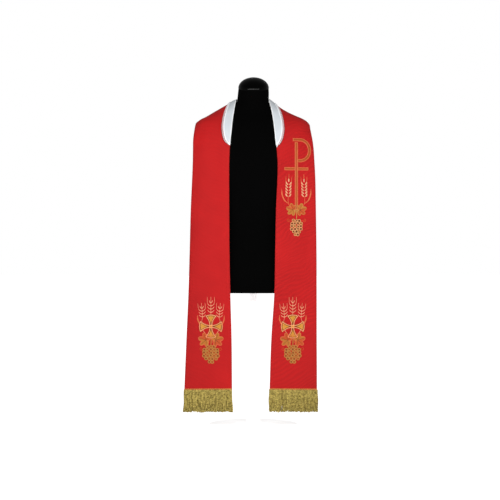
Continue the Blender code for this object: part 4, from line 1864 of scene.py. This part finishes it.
    def plump_wheat(self, at: Placed, ear: float, pairs: int = 5) -> None:
        """A full ear of wheat: plump grains splayed up both sides of a bare spine, with fine awns.

        Args:
            at: Its foot and its lean.
            ear: The ear's length without its awns.
            pairs: Pairs of grains.
        """
        step = ear / (pairs + 0.6)
        plump = step * 0.42
        for k in range(pairs):
            low = k * step
            for way in (-1, 1):
                tip = np.array([way * 9.6, low + step * 1.05])
                grain = [(way * 1.7, low), (way * 6.5, low + step * 0.4), tip]
                self.sewn(grain, at, Thread.CREAM, plump, (0.35, 0.4), step=self.grain_step)
                if k >= pairs - 2:
                    awn = [tip, tip + (way * 0.8, step * 0.7), tip + (way, step * (k - pairs + 2.8))]
                    self.sewn(awn, at, Thread.APRICOT, self.awn_width, (1, 0.5), 0.4)
        self.sewn([(0, ear - step * 0.6), (0, ear + step * 0.5)], at, Thread.CREAM, plump, (0.5, 0.3))
        self.sewn([(0, ear), (0, ear + step * 2)], at, Thread.APRICOT, self.awn_width, rise=0.4)

    def stalk(self, points: Points, thread: Thread = Thread.PEACH, width: float = 1.6) -> None:
        """A stalk or stem along a smooth curve."""
        self.work.column(curve_through(points), thread, width, (0.8, 0.7), 0.45)

    def blade(self, points: Points, width: float = 4.2) -> None:
        """A long pointed leaf with a darker rib.

        Args:
            points: Points of its curve, from the foot.
            width: Its full width.
        """
        line = curve_through(points)
        self.work.column(line, Thread.APRICOT, width, (0.3, 0.12), 0.5)
        self.work.column(line[2:-6], Thread.RUST, 0.8, (1, 0.5), 0.8)

    def tendril(self, foot: Sequence[float], size: float, way: int) -> None:
        """A tendril that curls into a spiral.

        Args:
            foot: Where it leaves the stem.
            size: The spiral's radius.
            way: 1 if it curls to the right, -1 if to the left.
        """
        turn = np.linspace(0, 2.6 * math.pi, 48)
        radius = size * (1 - 0.78 * turn / turn[-1])
        curl = np.stack([way * (size - radius * np.cos(turn)), -radius * np.sin(turn)], axis=1)
        self.work.column(curl + np.array(foot), Thread.RUST, 1.2, (1, 0.6), 0.5)

    def vine_leaf(self, at: Placed, size: float, edge_thread: Thread = Thread.APRICOT) -> None:
        """A vine leaf with five round lobes, half rust and half honey, with dark veins.

        Args:
            at: Where its stem meets it, and its lean.
            size: From the foot to the tip.
            edge_thread: What its outline is sewn in.
        """
        lobes = np.array(self.leaf_lobes)
        angles = np.linspace(0, 180, 37)
        reach = np.clip(smooth_table(lobes[:, 0], lobes[:, 1:], angles), 0.1, 1.02)
        stem = np.array([0, size * self.leaf_stem])
        blade = size * (1 - self.leaf_stem)
        turn = np.radians(angles)
        half = blade * reach * np.stack([np.sin(turn), np.cos(turn)], axis=1) + stem
        for way, thread in ((1, Thread.RUST), (-1, Thread.HONEY)):
            self.work.fill(self.leant(half * np.array([way, 1]), at), thread, 90 - at[1] - way * 48, 0.55)
        whole = np.concatenate([half, half[-2:0:-1] * np.array([-1, 1])])
        self.work.column(self.leant(run_on(whole), at), edge_thread, 1.7, rise=0.9)
        for angle, share in self.leaf_veins:
            swing = math.radians(angle)
            tip = stem + blade * share * np.array([math.sin(swing), math.cos(swing)])
            self.work.column(self.leant([stem, tip], at), Thread.UMBER, 1.3, (1, 0.4), 1.05)

    def grapes(
        self,
        top: Sequence[float],
        rows: Sequence[int],
        berry: float = 4.7,
        rim: Thread = Thread.OLIVE,
        glint: Thread = Thread.HONEY,
        glints: int = 3,
        shade_ground: Thread = Thread.BRONZE,
    ) -> None:
        """A hanging bunch of crowded rings on a darker ground of painted shade, with a glint or a seed in
        some of them.

        Args:
            top: The middle of its highest row.
            rows: How many berries each row has.
            berry: A berry's radius.
            rim: What its rings are sewn in.
            glint: What some of them are filled with.
            glints: One in this many of them is filled.
            shade_ground: The darker thread that lies under and between them, as painted shade.
        """
        for level, count in enumerate(rows):
            for k in range(count):
                nudge = np.array([math.sin(2.3 * k + 1.7 * level), math.cos(1.9 * k + 2.9 * level)])
                across = (k - (count - 1) / 2) * berry * 2.1
                middle = np.array(top) + np.array([across, -level * berry * 1.9]) + self.nudged * nudge
                ring = circle(middle, berry * (0.9 + 0.1 * math.sin(4.1 * k + level)), 18)
                # Painted shade: darker thread under and between the berries.
                self.work.fill(circle(middle, berry * 1.1, 14), shade_ground, 30, 0.3)
                self.work.column(run_on(ring), rim, 2.0, rise=0.9)
                if (k + 2 * level) % glints == 0:
                    self.work.fill(circle(middle, berry * 0.5, 10), glint, 30, 0.8)


@dataclass
class Embroidery:
    """The embroidery on both halves: a plain arrangement of common church motifs.

    Both ends carry a cross between wheat and a vine. The left half also has a tau-rho cross above.
    """

    halves: dict[Side, StoleHalf]
    end_height: float = 366
    end_across: tuple[float, float] = (-149.0, 138.0)
    upper_middle: tuple[float, float] = (151.0, 885.0)
    stroke: float = 6.5

    def build(self) -> dict[Side, list[Piece]]:
        """Makes the motif at each end, and the large one on the left half."""
        ends = {side: [self.end_motif(side, across)] for side, across in zip(Side, self.end_across)}
        ends[Side.LEFT].append(self.upper_motif())
        return ends

    def end_motif(self, side: Side, across: float) -> Piece:
        """The motif above a hem: a cross pattee with three ears above, and a vine below.

        Args:
            side: Which half it is sewn on.
            across: Where its middle lies, from the middle of the form.

        Returns:
            The embroidery.
        """
        work = Needlework((across, self.end_height))
        draw = Motifs(work)
        draw.stalk([(0, 36), (0, 42), (0, 48)])
        draw.wheat(((0, 48), 0), 38)
        for way in (-1, 1):
            draw.stalk([(way * 9, -36), (way * 27, -14), (way * 33, 10), (way * 29, 32)])
            draw.wheat(((way * 29, 32), way * 5), 34)
            draw.blade([(way * 32, 0), (way * 40, 10), (way * 46, 24), (way * 47, 40)])
            draw.stalk([(way * 4, -46), (way * 12, -52), (way * 18, -50)], Thread.OLIVE, 1.8)
            draw.vine_leaf(((way * 9, -50), way * 74), 36)
            draw.tendril((way * 27, -78), 6.5, way)
        draw.cross_pattee((0, 0), 40)
        draw.stalk([(0, -38), (1, -50), (0, -64)], Thread.OLIVE, 2.4)
        draw.grapes((0, -70), (3, 5, 5, 5, 4, 2), 5.6, glint=Thread.UMBER, glints=2)
        return work.make(f"embroidery_{side.word}_end", self.halves[side])

    def upper_motif(self) -> Piece:
        """The large motif: a tau-rho cross between two ears of wheat, on a vine."""
        work = Needlework(self.upper_middle)
        draw = Motifs(work)
        turn = np.linspace(math.pi / 2, -math.pi / 2, 25)
        bowl = np.stack([14 + 33 * np.cos(turn), 100 + 37 * np.sin(turn)], axis=1)
        for way in (-1, 1):
            bar = np.array([[way * self.stroke, 34], [way * 40, 34]])
            work.band(bar, 6, Thread.BRONZE, Thread.APRICOT)
        for path in (np.concatenate([[[-10, 137]], bowl, [[6, 63]]]), np.array([[0, 126], [0, -108]])):
            work.band(path, self.stroke, Thread.BRONZE, Thread.APRICOT)
        for way in (-1, 1):
            draw.stalk([(way * 6, -112), (way * 20, -102), (way * 29, -84), (way * 29, -64)], Thread.APRICOT)
            draw.plump_wheat(((way * 29, -64), -way * 2), 58)
            draw.blade([(way * 29, -88), (way * 41, -78), (way * 50, -58), (way * 52, -36)])
            draw.stalk([(way * 3, -112), (way * 9, -118), (way * 14, -118)], Thread.OLIVE, 1.8)
            draw.vine_leaf(((way * 5, -112), way * 74), 31, Thread.OLIVE)
            draw.tendril((way * 22, -146), 6.5, way)
        draw.stalk([(0, -104), (1, -124), (0, -142)], Thread.OLIVE, 2.4)
        draw.grapes((0, -148), (3, 4, 4, 4, 3, 2), 5.1, Thread.STRAW, Thread.HONEY, 5, Thread.UMBER)
        return work.make("embroidery_left_upper", self.halves[Side.LEFT])


# ----------------------------------------------------------------------------------------------- studio


@dataclass
class Studio:
    """A plain white studio: a lit floor, a white surround, two soft lights and a long lens."""

    middle_across: float = -11.9
    eye_height: float = 634
    panel_depth: float = 110
    distance: float = 5000
    field_width: float = 1750
    sensor_width: float = 36
    floor_size: float = 60000
    wall: float = 0.42
    wall_top: float = 0.22
    ceiling: float = 0.25
    ceiling_edge: float = 0.5
    lamp_power: tuple[float, float] = (21.4, 19.2)
    lamp_turn: float = 21
    lamp_distance: float = 2200
    lamp_height: float = 1290
    lamp_aim: float = 800
    lamp_size: tuple[float, float] = (1700, 110)

    def build(self) -> None:
        """Makes the floor, the lights and the camera."""
        self.floor()
        self.surround()
        for side, power in zip(Side, self.lamp_power):
            self.lamp(side, power)
        self.camera()

    def floor(self) -> None:
        """The wide plain floor."""
        half = self.floor_size / 2 * MM
        mesh = bpy.data.meshes.new("studio_floor")
        corners = [(-half, -half, 0), (half, -half, 0), (half, half, 0), (-half, half, 0)]
        mesh.from_pydata(corners, [], [(0, 1, 2, 3)])
        mesh.materials.append(LIT_ACRYLIC.material())
        placed("studio_floor", mesh)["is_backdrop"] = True

    def surround(self) -> None:
        """A white backdrop for the eye, and for the cloth dim walls under a dark ceiling."""
        world = bpy.data.worlds.new("studio_surround")
        world.use_nodes = True
        tree = world.node_tree
        direction = add_node(tree, "TexCoord").outputs["Generated"]
        upwards = add_node(tree, "SeparateXYZ", {0: direction}).outputs["Z"]
        inputs = {"Value": upwards, "From Min": self.wall_top, "From Max": self.ceiling_edge}
        inputs |= {"To Min": self.wall, "To Max": self.ceiling}
        shade = add_node(tree, "MapRange", inputs).outputs["Result"]
        seen = add_node(tree, "LightPath").outputs["Is Camera Ray"]
        light = add_node(tree, "Math", {0: shade, 1: seen}, operation="MAXIMUM")
        tree.links.new(light.outputs[0], tree.nodes["Background"].inputs["Color"])
        bpy.context.scene.world = world

    def lamp(self, side: Side, power: float) -> None:
        """A softbox in front, to one side, at the height of the chest.

        Args:
            side: The wearer's side that it stands on.
            power: Its power in watts.
        """
        light = bpy.data.lights.new(f"softbox_{side.word}", "AREA")
        light.shape = "RECTANGLE"
        light.size, light.size_y = (size * MM for size in self.lamp_size)
        light.energy = power
        lamp = placed(f"softbox_{side.word}", light)
        turn = math.radians(self.lamp_turn)
        place = (side * math.sin(turn), -math.cos(turn))
        lamp.location = Vector((*(part * self.lamp_distance for part in place), self.lamp_height)) * MM
        aim = Vector((0, 0, self.lamp_aim)) * MM
        lamp.rotation_euler = (aim - lamp.location).to_track_quat("-Z", "Y").to_euler()

    def camera(self) -> None:
        """A level camera with a long lens, square on to the panels."""
        lens = bpy.data.cameras.new("camera")
        lens.sensor_width = self.sensor_width
        lens.lens = lens.sensor_width * self.distance / self.field_width
        lens.clip_end = 100
        eye = placed("camera", lens)
        place = (self.middle_across, -(self.distance + self.panel_depth), self.eye_height)
        eye.location = Vector(place) * MM
        eye.rotation_euler = (math.pi / 2, 0, 0)
        bpy.context.scene.camera = eye
        bpy.context.scene.view_settings.view_transform = "Standard"


def declare_cloth(
    halves: dict[Side, StoleHalf],
    on_strips: dict[Side, list[Piece]],
    band: Piece,
    edging: list[Piece],
) -> None:
    """Works out each half's cloth area and lists what is sewn on the strips and on the band, and keeps none
    of it.

    Args:
        halves: The two halves' sizes.
        on_strips: What is sewn on each.
        band: The band's cloth. It is not used.
        edging: What is sewn on it.
    """
    for side, half in halves.items():
        half.cloth_area()
        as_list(on_strips[side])
    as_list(edging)


def main() -> None:
    """Builds the form, the stole and the studio, in that order."""
    logging.basicConfig(level=logging.INFO, format="%(message)s")
    form = DressForm()
    form.build()
    halves = {side: StoleHalf(side, form) for side in Side}
    strips = {side: half.build() for side, half in halves.items()}
    band, *edging = NeckBand(halves).build()
    on_strips = Embroidery(halves).build()
    for side, half in halves.items():
        on_strips[side].append(Fringe(half).build())
    declare_cloth(halves, on_strips, band, edging)
    Studio().build()
    boxes = {"cad": cad_box, "visual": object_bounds()}
    {name: [list(corner) for corner in box] for name, box in boxes.items()}


if __name__ == "__main__":
    main()
